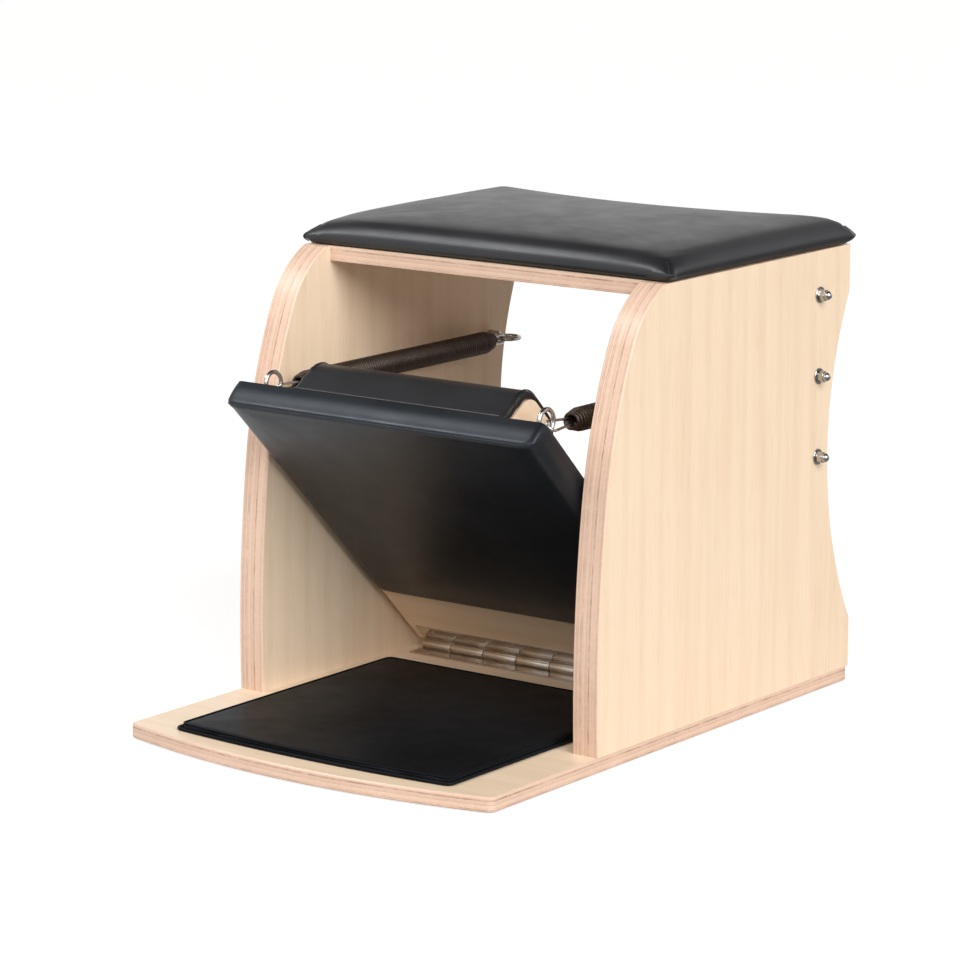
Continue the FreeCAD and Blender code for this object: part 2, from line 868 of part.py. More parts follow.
def front_hook_bend():
    """Distance of the front hook's outermost middle line."""
    start, ahead, distance = spring_line()
    return distance - (ring_inner - hook_wire / 2 - hook_slack)


def front_hook():
    """Hook of the right spring through the pedal's ring, turned part way round the spring."""
    start, ahead, distance = spring_line()
    turn = math.radians(front_hook_turn)
    upright = X_AXIS.cross(ahead).normalize()
    side = X_AXIS * math.cos(turn) + upright * math.sin(turn)
    bend = front_hook_bend()
    return hook(bend - front_hook_reach, bend, front_hook_loop, side, ahead.cross(side).normalize(), -1)


def biarc(start, start_way, end, end_way):
    """Two arcs that leave start along start_way and reach end along end_way."""
    span = end - start
    both = start_way + end_way
    spread_out = 2 * (1 - start_way.dot(end_way))
    reach = span.dot(both)
    length = (math.sqrt(reach * reach + spread_out * span.dot(span)) - reach) / spread_out
    first_corner = start + start_way * length
    second_corner = end - end_way * length
    joint = (first_corner + second_corner) * 0.5
    return [corner_arc(start, first_corner, joint), corner_arc(joint, second_corner, end)]


def corner_arc(start, corner, end):
    """Arc tangent to both lines from a corner at equal distance from start and end."""
    chord_middle = (start + end) * 0.5
    half = (corner - start).getAngle(end - start)
    share = math.tan(half / 2) / math.tan(half)
    return arc(start, chord_middle + (corner - chord_middle) * share, end)


def coil_path():
    """Middle line of the right spring's wire, and points along it a twelfth of a turn apart."""
    start, ahead, distance = spring_line()
    side = X_AXIS.cross(ahead).normalize()
    first = rear_hook_reach + coil_wire / 2
    last = front_hook_bend() - front_hook_reach - coil_wire / 2
    full = (coil_diameter - coil_wire) / 2
    tip = (coil_tip_diameter - coil_wire) / 2

    def radius(turn):
        near_end = min(turn, coil_turns - turn)
        share = min(max(near_end / coil_taper_turns, 0), 1)
        return tip + (full - tip) * (3 - 2 * share) * share * share

    def at(turn):
        angle = 2 * math.pi * turn
        out = X_AXIS * math.cos(angle) + side * math.sin(angle)
        return start + ahead * (first + (last - first) * turn / coil_turns) + out * radius(turn)

    def way(turn):
        step = 0.001
        return (at(turn + step) - at(turn - step)).normalize()

    edges = [line(at(0) - way(0) * coil_wire, at(0))]
    for number in range(2 * coil_turns):
        turn = number / 2
        edges += biarc(at(turn), way(turn), at(turn + 0.5), way(turn + 0.5))
    edges.append(line(at(coil_turns), at(coil_turns) + way(coil_turns) * coil_wire))
    points = [at(number / 12) for number in range(12 * coil_turns + 1)]
    return Part.Wire(edges), points


def spring_coil():
    """Right spring's coil, one unbroken wire."""
    path, points = coil_path()
    start, ahead, distance = spring_line()
    way = path.Edges[0].tangentAt(path.Edges[0].FirstParameter)
    first = (ahead - way * ahead.dot(way)).normalize()
    second = way.cross(first)
    half_turn = 6
    gap = min(
        (points[one] - points[two]).Length
        for one in range(len(points))
        for two in range(one + half_turn, min(one + 3 * half_turn, len(points)))
    )
    print("spring coil: %d turns, least gap to itself %.2f mm" % (coil_turns, gap - coil_wire))
    outline = closed(polygon(path.Edges[0].Vertexes[0].Point, first, second, coil_wire / 2, coil_sides))
    return path.makePipeShell([outline], True, False)


# Writing the pieces
def write(node, shapes):
    """Write one node, as one solid or as a group of separate solids."""
    group = shapes if isinstance(shapes, list) else [shapes]
    solids = [solid for shape in group for solid in shape.Solids]
    whole = solids[0] if len(solids) == 1 else Part.makeCompound(solids)
    if not whole.isValid():
        print("not valid:", node)
    whole.exportStep("parts/%s.step" % node)


def write_pair(node, shapes):
    """Write a right-hand piece and its mirror image."""
    group = shapes if isinstance(shapes, list) else [shapes]
    write("right_" + node, group)
    write("left_" + node, [mirrored(shape) for shape in group])


def main():
    os.makedirs("parts", exist_ok=True)
    write("base_board", base_board())
    write("base_mat", base_mat())
    write("grip_pads", grip_pads())
    write_pair("side_panel", side_panel())
    write("base_screws", base_screws() + [mirrored(screw) for screw in base_screws()])
    write("seat_board", seat_board())
    write("seat_cushion_board", cushion_board())
    write("seat_cushion", seat_cushion())
    write("seat_cushion_screws", cushion_screws())

    write("hinge_base_leaf", onto_base(flat_leaf(0)))
    write("hinge_base_screws", hinge_base_screws())
    write("hinge_pin", hinge_pin())
    write("hinge_pedal_leaf", leaned(onto_pedal_board(flat_leaf(1))))
    write("hinge_pedal_screws", [leaned(screw) for screw in hinge_pedal_screws()])

    write("pedal_board", leaned(pedal_board()))
    write("pedal_pad", leaned(pedal_pad()))
    write("foot_bar_core", leaned(bar_core()))
    write("foot_bar_pad", leaned(bar_pad()))
    write("foot_bar_screws", [leaned(screw) for screw in bar_screws()])
    write_pair("pedal_eye_bolt", leaned(pedal_eye_bolt()))
    tee = leaned(tee_nut())
    write("pedal_tee_nuts", [tee, mirrored(tee)])

    for place, height in zip(("lower", "middle", "upper"), eye_heights()):
        write_pair(place + "_eye_bolt", panel_eye_bolt(height))
    write_pair("outer_washers", [panel_washer(height) for height in eye_heights()])
    write_pair("acorn_nuts", [acorn_nut(height) for height in eye_heights()])
    write_pair("inner_nuts", [inner_nut(height) for height in eye_heights()])

    write_pair("spring_coil", spring_coil())
    write_pair("rear_hook", rear_hook())
    write_pair("front_hook", front_hook())


main()
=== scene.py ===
import json
import math

import bmesh
import bpy
from bpy.props import FloatProperty, FloatVectorProperty, IntProperty, PointerProperty
from mathutils import Matrix, Vector
from mathutils.bvhtree import BVHTree
from mathutils.kdtree import KDTree


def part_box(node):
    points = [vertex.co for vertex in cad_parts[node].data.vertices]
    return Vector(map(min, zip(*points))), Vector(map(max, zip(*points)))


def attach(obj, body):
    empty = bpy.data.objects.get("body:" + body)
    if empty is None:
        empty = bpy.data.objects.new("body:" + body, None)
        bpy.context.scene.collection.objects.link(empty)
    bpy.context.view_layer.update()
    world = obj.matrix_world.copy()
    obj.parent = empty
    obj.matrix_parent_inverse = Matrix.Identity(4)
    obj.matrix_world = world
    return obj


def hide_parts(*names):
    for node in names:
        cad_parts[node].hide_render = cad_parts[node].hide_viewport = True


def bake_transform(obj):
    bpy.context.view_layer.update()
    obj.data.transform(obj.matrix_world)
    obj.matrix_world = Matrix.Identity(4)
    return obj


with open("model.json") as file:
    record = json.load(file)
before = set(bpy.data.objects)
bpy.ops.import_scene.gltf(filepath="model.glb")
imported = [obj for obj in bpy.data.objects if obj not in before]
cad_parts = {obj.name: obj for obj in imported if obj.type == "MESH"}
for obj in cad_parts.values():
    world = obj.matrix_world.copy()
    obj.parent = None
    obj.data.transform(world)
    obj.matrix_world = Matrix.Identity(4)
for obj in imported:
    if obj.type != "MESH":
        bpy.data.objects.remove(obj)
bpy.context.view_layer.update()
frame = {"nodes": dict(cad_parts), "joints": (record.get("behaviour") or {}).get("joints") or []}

bl_info = {
    "name": "Pilates chair",
    "version": (1, 0, 0),
    "blender": (4, 5, 0),
    "location": "3D View > Sidebar > Chair",
    "description": "Upholstery, springs, hardware and finishes for the chair's frame",
    "category": "Object",
}

NODES = frame["nodes"]
JOINTS = {joint["name"]: joint for joint in frame["joints"]}
SIDES = (("left", -1), ("right", 1))
X_AXIS = Vector((1, 0, 0))
Y_AXIS = Vector((0, 1, 0))
Z_AXIS = Vector((0, 0, 1))

# Places that the frame gives, in metres
CUSHION_LOW, CUSHION_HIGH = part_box("seat_cushion")
MAT_LOW, MAT_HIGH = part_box("base_mat")
PANEL_LOW, PANEL_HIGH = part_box("right_side_panel")
SEAT_BOARD_LOW, SEAT_BOARD_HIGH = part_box("seat_board")
BASE_LOW, BASE_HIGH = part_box("base_board")
HINGE = Vector(JOINTS["pedal_press"]["pos_m"])
SPRING_REAR = Vector(JOINTS["right_spring_swing"]["pos_m"])
SPRING_WAY = Vector(JOINTS["right_spring_stretch"]["axis"])

# The pedal is drawn upright on its hinge, front towards -Y, and leaned into place
PEDAL_LEAN = math.radians(45)
PEDAL_PLACE = Matrix.Translation(HINGE) @ Matrix.Rotation(PEDAL_LEAN, 4, "X")
PEDAL_NORMAL = (PEDAL_PLACE.to_3x3() @ Y_AXIS).normalized()
PEDAL_UP = (PEDAL_PLACE.to_3x3() @ Z_AXIS).normalized()
PEDAL_FACE = 0.007
PEDAL_BACK = 0.032
PAD_HALF = 0.228
PAD_START = 0.112
PAD_END = 0.523
PAD_WRAP = 0.0035
RING_DEPTH = PEDAL_BACK + 0.0216
RING_RISE = PAD_END - 0.033

# Camera and lamps of the photograph: each lamp has a name, a place, a size and a power
CAMERA_PLACE = Vector((2.848, -3.817, 1.2717))
CAMERA_WAY = Vector((-0.5878, 0.7834, -0.2018))
CAMERA_LENS = 150.37
LAMPS = (("Front", Vector((0.3, -2.9, 2.3)), 1.6, 33.0), ("Top", Vector((-1.76, -1.3, 2.6)), 1.0, 38.0))
LAMP_AIM = Vector((0, 0, 0.3))
SUN_WAY = Vector((-0.78, 0.34, -0.52))

# Pitches of the plies and of their glue lines, and how the covers are remeshed and blown up
PLY_PITCH = 0.0034
GLUE_PITCH = 0.0056
COVER_VOXEL = 0.005
CLOTH_FRAMES = 20
CLOTH_PRESSURE = 4.0


def a_length(label, told, default):
    """Length that a user may change, in metres."""
    return FloatProperty(name=label, description=told, default=default, unit="LENGTH")


def a_colour(label, told, default):
    """Colour that a user may change."""
    return FloatVectorProperty(name=label, description=told, subtype="COLOR", default=default, min=0, max=1)


class ChairSizes(bpy.types.PropertyGroup):
    coil_turns: IntProperty(
        name="Spring turns", description="Turns of wire in each spring", default=86, min=8)
    coil_wire: a_length("Spring wire", "Diameter of the springs' wire", 0.0045)
    coil_diameter: a_length("Spring diameter", "Outer diameter of the springs", 0.029)
    coil_tip: a_length("Spring tip", "Outer diameter of the springs' ends", 0.0215)
    hook_wire: a_length("Hook wire", "Diameter of the hooks' wire", 0.0034)
    ring_radius: a_length("Eye radius", "Middle radius of an eye bolt's ring", 0.014)
    ring_wire: a_length("Eye wire", "Diameter of an eye bolt's ring wire", 0.0056)
    thread_pitch: a_length("Thread pitch", "Pitch of the bolts' threads", 0.00125)
    cushion_swell: a_length("Seat swell", "How far the seat's cover may swell", 0.0026)
    pad_swell: a_length("Pad swell", "How far the thin pads' covers may swell", 0.0022)
    welt: a_length("Welt", "Radius of the sewn welts", 0.0011)


class ChairColours(bpy.types.PropertyGroup):
    maple: a_colour("Maple face", "Light colour of the boards' faces", (0.855, 0.685, 0.510))
    maple_streak: a_colour("Maple streak", "Darker streaks of the boards' faces", (0.70, 0.49, 0.31))
    ply_light: a_colour("Ply light", "Light plies on the boards' edges", (0.77, 0.553, 0.428))
    ply_dark: a_colour("Ply dark", "Dark plies on the boards' edges", (0.55, 0.35, 0.25))
    ply_line: a_colour("Ply line", "Glue lines and gaps between plies", (0.22, 0.11, 0.07))
    vinyl: a_colour("Vinyl", "Black covers of the seat and the foot bar", (0.0115, 0.0115, 0.0130))
    vinyl_cool: a_colour("Cool vinyl", "Black covers of the pedal and the mat", (0.0090, 0.0102, 0.0125))
    nickel: a_colour("Nickel", "Plated bolts, nuts and hooks", (0.50, 0.49, 0.475))
    hinge: a_colour("Hinge steel", "Hinge leaves and knuckles", (0.63, 0.57, 0.51))
    spring: a_colour("Spring steel", "Dark wire of the springs", (0.075, 0.058, 0.048))
    rubber: a_colour("Rubber", "Grip pads", (0.03, 0.03, 0.03))


# Materials
def add(tree, kind, inputs=None, **settings):
    """Add a node, set its options, and set or link its inputs."""
    node = tree.nodes.new(kind)
    for key, value in settings.items():
        setattr(node, key, value)
    for key, value in (inputs or {}).items():
        socket = node.inputs[key]
        if isinstance(value, bpy.types.NodeSocket):
            tree.links.new(value, socket)
        else:
            socket.default_value = value
    return node


def maths(tree, operation, first, second=0.0, third=0.0, clamp=False):
    """One step of arithmetic on values or sockets."""
    node = add(tree, "ShaderNodeMath", {0: first, 1: second, 2: third}, operation=operation, use_clamp=clamp)
    return node.outputs[0]


def mixed(tree, share, first, second):
    """Colour between two, by share."""
    node = add(tree, "ShaderNodeMix", data_type="RGBA")
    for socket, value in ((node.inputs[0], share), (node.inputs[6], first), (node.inputs[7], second)):
        if isinstance(value, bpy.types.NodeSocket):
            tree.links.new(value, socket)
        elif isinstance(value, float):
            socket.default_value = value
        else:
            socket.default_value = (*value, 1)
    return node.outputs[2]


def noise(tree, place, scale, detail=3.0, roughness=0.5):
    """Noise value at a place."""
    node = add(tree, "ShaderNodeTexNoise", {
        "Vector": place, "Scale": scale, "Detail": detail, "Roughness": roughness})
    return node.outputs["Fac"]


def layered(tree, through, pitch, detail=0.0):
    """Noise that changes only through the plies."""
    node = add(tree, "ShaderNodeTexNoise", {
        "W": maths(tree, "DIVIDE", through, pitch), "Scale": 1.0, "Detail": detail, "Roughness": 0.4},
        noise_dimensions="1D")
    return node.outputs["Fac"]


def mapped(tree, place, scale):
    """Place stretched by a scale along each axis."""
    return add(tree, "ShaderNodeMapping", {"Vector": place, "Scale": scale}).outputs["Vector"]


def ranged(tree, value, low, high, to_low=0.0, to_high=1.0, smooth=False):
    """Value brought from one range to another."""
    node = add(tree, "ShaderNodeMapRange", {"Value": value, 1: low, 2: high, 3: to_low, 4: to_high},
               interpolation_type="SMOOTHSTEP" if smooth else "LINEAR", clamp=True)
    return node.outputs["Result"]


def summed(tree, parts, clamp=False):
    """Sum of values, each times its share."""
    total = 0.0
    for value, share in parts:
        total = maths(tree, "MULTIPLY_ADD", value, share, total)
    return maths(tree, "ADD", total, clamp=clamp)


def bumped(tree, surface, height, strength, distance):
    """Bump on a surface shader."""
    node = add(tree, "ShaderNodeBump", {"Height": height, "Strength": strength, "Distance": distance})
    tree.links.new(node.outputs["Normal"], surface.inputs["Normal"])


def dressed(tree, surface, colour, rough):
    """Colour and roughness of a surface shader."""
    tree.links.new(colour, surface.inputs["Base Color"])
    tree.links.new(rough, surface.inputs["Roughness"])


def new_finish(name):
    """New material with its tree, its shader and the coordinates it is given."""
    material = bpy.data.materials.new(name)
    material.use_nodes = True
    tree = material.node_tree
    return material, tree, tree.nodes["Principled BSDF"], add(tree, "ShaderNodeTexCoord").outputs


def plywood(name, colours, stack, grain, middle):
    """Maple-faced plywood. stack runs through its plies, grain along its face, middle is a point half way
    through it."""
    material, tree, surface, given = new_finish(name)
    turn = Matrix((grain, stack.cross(grain), stack)).to_euler()
    place = add(tree, "ShaderNodeMapping", {"Vector": given["Object"], "Rotation": turn}).outputs["Vector"]
    through = add(tree, "ShaderNodeSeparateXYZ", {"Vector": place}).outputs["Z"]
    through = maths(tree, "SUBTRACT", through, middle.dot(stack))
    facing = add(tree, "ShaderNodeVectorMath", {0: given["Normal"], 1: stack}, operation="DOT_PRODUCT")
    on_face = ranged(tree, maths(tree, "ABSOLUTE", facing.outputs["Value"]), 0.72, 0.9)

    # Face: streaks that come and go by area, a broad figure, fine fibres and short flecks
    streak = noise(tree, mapped(tree, place, (2.2, 42.0, 0.0)), 1.0, 5.0, 0.55)
    area = noise(tree, mapped(tree, place, (4.0, 11.0, 0.0)), 1.0, 3.0, 0.6)
    area = ranged(tree, area, 0.38, 0.66, 0.15, 1.0)
    streak = maths(tree, "MULTIPLY", ranged(tree, streak, 0.36, 0.70), area)
    figure = add(tree, "ShaderNodeTexWave", {
        "Vector": mapped(tree, place, (0.9, 7.0, 0.0)), "Scale": 1.1, "Distortion": 7.0, "Detail": 3.0,
        "Detail Scale": 0.7, "Detail Roughness": 0.55}, wave_type="BANDS", bands_direction="Y")
    figure = ranged(tree, figure.outputs["Fac"], 0.55, 1.0, smooth=True)
    fibre = noise(tree, mapped(tree, place, (9.0, 420.0, 0.0)), 1.0, 3.0, 0.6)
    fleck = noise(tree, mapped(tree, place, (20.0, 460.0, 0.0)), 1.0, 1.0)
    shade = summed(tree, (
        (streak, 0.42), (figure, 0.15), (ranged(tree, fibre, 0.35, 0.7), 0.05),
        (ranged(tree, fleck, 0.60, 0.78), 0.40)), clamp=True)
    face = mixed(tree, shade, colours.maple, colours.maple_streak)

    # Edge: plies that wander a little, specks, patches and broken glue lines
    spot = mapped(tree, given["Object"], (11.0, 11.0, 11.0))
    wander = maths(tree, "MULTIPLY_ADD", noise(tree, spot, 0.9, 1.0), 0.0012, through)
    layer = ranged(tree, layered(tree, wander, PLY_PITCH, 1.0), 0.35, 0.68, 0.0, 0.42)
    speck = ranged(tree, noise(tree, spot, 22.0, 3.0, 0.7), 0.42, 0.75, 0.0, 0.26)
    patch = ranged(tree, noise(tree, spot, 1.0, 4.0, 0.6), 0.35, 0.7, -0.14, 0.16)
    dark = summed(tree, ((layer, 1.0), (speck, 1.0), (patch, 1.0)), clamp=True)
    edge = mixed(tree, dark, colours.ply_light, colours.ply_dark)
    glue = maths(tree, "SUBTRACT", layered(tree, wander, GLUE_PITCH), 0.5)
    glue = ranged(tree, maths(tree, "ABSOLUTE", glue), 0.008, 0.030, 1.0, 0.0)
    broken = noise(tree, mapped(tree, given["Object"], (34.0, 34.0, 34.0)), 1.0, 3.0, 0.7)
    glue = maths(tree, "MULTIPLY", glue, ranged(tree, broken, 0.36, 0.66))
    edge = mixed(tree, maths(tree, "MULTIPLY", glue, 0.62), edge, colours.ply_line)

    rough = maths(tree, "MULTIPLY_ADD", fibre, 0.14, 0.27)
    dressed(tree, surface, mixed(tree, on_face, edge, face), rough)
    surface.inputs["Specular IOR Level"].default_value = 0.35
    bumped(tree, surface, mixed(tree, on_face, dark, fibre), strength=0.25, distance=0.0002)
    return material


def vinyl(name, black, scuff, shine, rough, tint):
    """Black upholstery vinyl with a pressed grain, soft creases, a share of scuffs, and its own shine and
    tint."""
    material, tree, surface, given = new_finish(name)
    place = given["Object"]
    grain = add(tree, "ShaderNodeTexVoronoi", {"Vector": place, "Scale": 950.0}, feature="F1")
    pores = noise(tree, place, 520.0)
    crease = noise(tree, place, 26.0, 4.0, 0.6)
    cloud = ranged(tree, noise(tree, place, 6.0, 2.0), 0.35, 0.7)
    dust = ranged(tree, noise(tree, place, 210.0, 2.0, 0.7), 0.70, 0.78)
    dust = maths(tree, "MULTIPLY", dust, ranged(tree, noise(tree, place, 11.0), 0.45, 0.7))
    dust = maths(tree, "MULTIPLY", dust, scuff)
    lighter = [min(1.0, value * 1.5 + 0.002) for value in black]
    colour = mixed(tree, dust, mixed(tree, cloud, black, lighter), (0.16, 0.16, 0.17))
    creased = ranged(tree, crease, 0.3, 0.7, rough, rough + 0.08)
    dressed(tree, surface, colour, maths(tree, "MULTIPLY_ADD", dust, 0.3, creased))
    surface.inputs["Specular IOR Level"].default_value = shine
    surface.inputs["Specular Tint"].default_value = (*tint, 1.0)
    height = summed(tree, ((grain.outputs["Distance"], 0.5), (pores, 0.35), (crease, 0.9)))
    bumped(tree, surface, height, strength=0.12, distance=0.0003)
    return material


def metal(name, colour, rough, brush, wear):
    """Metal with brush marks along an axis scale, stains and a worn colour."""
    material, tree, surface, given = new_finish(name)
    marks = noise(tree, mapped(tree, given["Object"], brush), 1.0, 4.0, 0.6)
    stain = ranged(tree, noise(tree, given["Object"], 60.0, 4.0, 0.6), 0.4, 0.75)
    darker = [value * 0.45 for value in colour]
    stained = mixed(tree, maths(tree, "MULTIPLY", stain, wear), colour, darker)
    dressed(tree, surface, stained, ranged(tree, marks, 0.3, 0.7, rough - 0.06, rough + 0.1))
    surface.inputs["Metallic"].default_value = 1.0
    bumped(tree, surface, marks, strength=0.12, distance=0.0001)
    return material


def rubber(name, colour):
    """Matt rubber with a fine tooth."""
    material, tree, surface, given = new_finish(name)
    tooth = noise(tree, given["Object"], 700.0)
    worn = ranged(tree, noise(tree, given["Object"], 40.0), 0.4, 0.7)
    lighter = [value * 2.2 for value in colour]
    dressed(tree, surface, mixed(tree, worn, colour, lighter), ranged(tree, tooth, 0.3, 0.7, 0.7, 0.9))
    bumped(tree, surface, tooth, strength=0.3, distance=0.0003)
    return material


def finish(name):
    """Material by name, made once."""
    known = bpy.data.materials.get(name)
    if known:
        return known
    colours = bpy.context.scene.chair_colours
    panel_middle = (PANEL_LOW + PANEL_HIGH) / 2
    pedal_middle = HINGE + PEDAL_NORMAL * ((PEDAL_FACE + PEDAL_BACK) / 2)
    boards = {
        "Plywood panel": (X_AXIS, Z_AXIS, panel_middle),
        "Plywood panel left": (X_AXIS, Z_AXIS, -panel_middle),
        "Plywood base": (Z_AXIS, X_AXIS, (BASE_LOW + BASE_HIGH) / 2),
        "Plywood seat": (Z_AXIS, X_AXIS, (SEAT_BOARD_LOW + SEAT_BOARD_HIGH) / 2),
        "Plywood pedal": (PEDAL_NORMAL, X_AXIS, pedal_middle),
        "Foot bar wood": (X_AXIS, PEDAL_UP, HINGE + PEDAL_UP * 0.45),
    }
    cool = colours.vinyl_cool
    mat_black = [value * 0.5 for value in cool]
    covers = {
        "Vinyl": dict(black=colours.vinyl, scuff=0.0, shine=0.46, rough=0.34, tint=(0.94, 0.96, 1.0)),
        "Pedal vinyl": dict(black=cool, scuff=0.0, shine=0.33, rough=0.31, tint=(0.76, 0.86, 0.98)),
        "Mat vinyl": dict(black=mat_black, scuff=0.8, shine=0.07, rough=0.40, tint=(0.70, 0.84, 1.0)),
    }
    screw_grey = [value * 0.35 for value in colours.nickel]
    metals = {
        "Nickel": dict(colour=colours.nickel, rough=0.20, brush=(900.0, 900.0, 900.0), wear=0.35),
        "Hinge steel": dict(colour=colours.hinge, rough=0.17, brush=(40.0, 1400.0, 1400.0), wear=0.15),
        "Spring steel": dict(colour=colours.spring, rough=0.42, brush=(700.0, 700.0, 700.0), wear=0.5),
        "Dark screw": dict(colour=screw_grey, rough=0.4, brush=(800.0, 800.0, 800.0), wear=0.4),
    }
    if name in boards:
        return plywood(name, colours, *boards[name])
    if name in covers:
        return vinyl(name, **covers[name])
    if name in metals:
        return metal(name, **metals[name])
    if name == "Grip rubber":
        return rubber(name, colours.rubber)
    raise RuntimeError("no finish named " + name)


# Meshes
def linked(name, mesh):
    """Object of a mesh, in the scene."""
    piece = bpy.data.objects.new(name, mesh)
    bpy.context.scene.collection.objects.link(piece)
    return piece


def drawn(name, build):
    """Plain mesh from a builder that fills a bmesh, smooth where its faces meet gently."""
    shape = bmesh.new()
    build(shape)
    bmesh.ops.recalc_face_normals(shape, faces=shape.faces)
    mesh = bpy.data.meshes.new(name)
    shape.to_mesh(mesh)
    shape.free()
    smoothed(mesh, 35)
    return mesh


def smoothed(mesh, angle):
    """Smooth shading with sharp edges past an angle in degrees."""
    mesh.polygons.foreach_set("use_smooth", [True] * len(mesh.polygons))
    mesh.set_sharp_from_angle(angle=math.radians(angle))


def loft(shape, rings, looped=False, capped=True):
    """Faces between rings of points, with end caps."""
    rows = [[shape.verts.new(point) for point in ring] for ring in rings]
    pairs = list(zip(rows, rows[1:]))
    if looped:
        pairs.append((rows[-1], rows[0]))
    count = len(rows[0])
    for one, two in pairs:
        for number in range(count):
            after = (number + 1) % count
            shape.faces.new((one[number], one[after], two[after], two[number]))
    if capped and not looped:
        shape.faces.new(list(reversed(rows[0])))
        shape.faces.new(rows[-1])


def circle(centre, first, second, radius, count):
    """Points of a circle in the plane of two unit vectors."""
    points = []
    for number in range(count):
        turn = 2 * math.pi * number / count
        points.append(centre + first * (radius * math.cos(turn)) + second * (radius * math.sin(turn)))
    return points


def square_to(way):
    """Two unit vectors square to a direction."""
    first = X_AXIS if abs(way.x) < 0.9 else Z_AXIS
    first = (first - way * first.dot(way)).normalized()
    return first, way.cross(first)


def turned(shape, start, way, profile, sides=40):
    """Turned solid: profile is (distance along, radius) pairs."""
    first, second = square_to(way)
    loft(shape, [circle(start + way * run, first, second, radius, sides) for run, radius in profile])


def torus(shape, centre, first, second, radius, wire, steps=72, sides=20):
    """Ring of round wire in the plane of two unit vectors."""
    normal = first.cross(second)
    rings = []
    for number in range(steps):
        turn = 2 * math.pi * number / steps
        out = first * math.cos(turn) + second * math.sin(turn)
        rings.append(circle(centre + out * radius, out, normal, wire / 2, sides))
    loft(shape, rings, looped=True)


def threaded(length, radius, pitch, depth):
    """Profile of a thread's ridges over a length."""
    count = max(1, int(length / pitch))
    profile = []
    for number in range(count):
        start = number * length / count
        profile.append((start, radius - depth))
        profile.append((start + length / count / 2, radius))
    profile.append((length, radius - depth))
    return profile


def circles(profile, sides):
    """Circles about +Z from (height, radius) pairs."""
    return [circle(Z_AXIS * height, X_AXIS, Y_AXIS, radius, sides) for height, radius in profile]


def lofted(ring, profile):
    """Builder of a loft through the rings that a profile's values give."""
    return lambda shape: loft(shape, [ring(*values) for values in profile])


def wire_mesh(name, points, radius, cyclic=False, sides=12):
    """Round wire along a smooth line through control points, with closed ends."""
    curve = bpy.data.curves.new(name, "CURVE")
    curve.dimensions = "3D"
    spline = curve.splines.new("NURBS")
    spline.points.add(len(points) - 1)
    for point, place in zip(spline.points, points):
        point.co = (*place, 1)
    spline.use_cyclic_u = cyclic
    spline.use_endpoint_u = not cyclic
    spline.order_u = 3
    spline.resolution_u = 6
    return made_by(wire_tree(), linked(name, curve), name, {"Radius": radius, "Sides": sides})


def plain(carrier, name):
    """Plain mesh of what a carrier's modifiers make. The carrier is removed."""
    graph = bpy.context.evaluated_depsgraph_get()
    mesh = bpy.data.meshes.new_from_object(carrier.evaluated_get(graph))
    mesh.name = name
    data = carrier.data
    kind = carrier.type
    bpy.data.objects.remove(carrier)
    if kind == "CURVE":
        bpy.data.curves.remove(data)
    return mesh


# Node trees
def new_tree(name, inputs, build):
    """Geometry node tree by name, made once, with named inputs. build gives the geometry that is made real,
    painted and put out."""
    known = bpy.data.node_groups.get(name)
    if known:
        return known
    tree = bpy.data.node_groups.new(name, "GeometryNodeTree")
    for label, kind, default in (("Geometry", "Geometry", None), *inputs, ("Finish", "Material", None)):
        socket = tree.interface.new_socket(label, in_out="INPUT", socket_type="NodeSocket" + kind)
        if default is not None:
            socket.default_value = default
    tree.interface.new_socket("Geometry", in_out="OUTPUT", socket_type="NodeSocketGeometry")
    given = tree.nodes.new("NodeGroupInput").outputs
    whole = add(tree, "GeometryNodeRealizeInstances", {"Geometry": build(tree, given)})
    painted = add(tree, "GeometryNodeSetMaterial", {
        "Geometry": whole.outputs["Geometry"], "Material": given["Finish"]})
    add(tree, "NodeGroupOutput", {"Geometry": painted.outputs["Geometry"]})
    return tree


def swept(tree, line, radius, sides):
    """Round wire along a curve, smooth and with closed ends."""
    section = add(tree, "GeometryNodeCurvePrimitiveCircle", {"Resolution": sides, "Radius": radius})
    wire = add(tree, "GeometryNodeCurveToMesh", {
        "Curve": line, "Profile Curve": section.outputs["Curve"], "Fill Caps": True})
    return add(tree, "GeometryNodeSetShadeSmooth", {"Geometry": wire.outputs["Mesh"]}).outputs["Geometry"]


def wire_tree():
    """Tree that sweeps a round wire along a curve."""
    def build(tree, given):
        return swept(tree, given["Geometry"], given["Radius"], given["Sides"])

    return new_tree("Wire along a line", (("Radius", "Float", 0.001), ("Sides", "Int", 12)), build)


def repeat_tree():
    """Tree that sets one shape at each point, each turned about its own axis by a seeded amount."""
    def build(tree, given):
        shape = add(tree, "GeometryNodeObjectInfo", {"Object": given["Shape"], "As Instance": True})
        set_out = add(tree, "GeometryNodeInstanceOnPoints", {
            "Points": given["Geometry"], "Instance": shape.outputs["Geometry"], "Rotation": given["Facing"]})
        amount = add(tree, "FunctionNodeRandomValue", {
            "Min": 0.0, "Max": given["Turn"], "Seed": given["Seed"]}, data_type="FLOAT")
        chance = [socket for socket in amount.outputs if socket.enabled][0]
        about = add(tree, "ShaderNodeCombineXYZ", {"Z": chance})
        spun = add(tree, "GeometryNodeRotateInstances", {
            "Instances": set_out.outputs["Instances"], "Rotation": about.outputs["Vector"],
            "Local Space": True})
        return spun.outputs["Instances"]

    return new_tree("Shape at points", (
        ("Shape", "Object", None), ("Facing", "Rotation", None), ("Turn", "Float", 0.0),
        ("Seed", "Int", 7)), build)


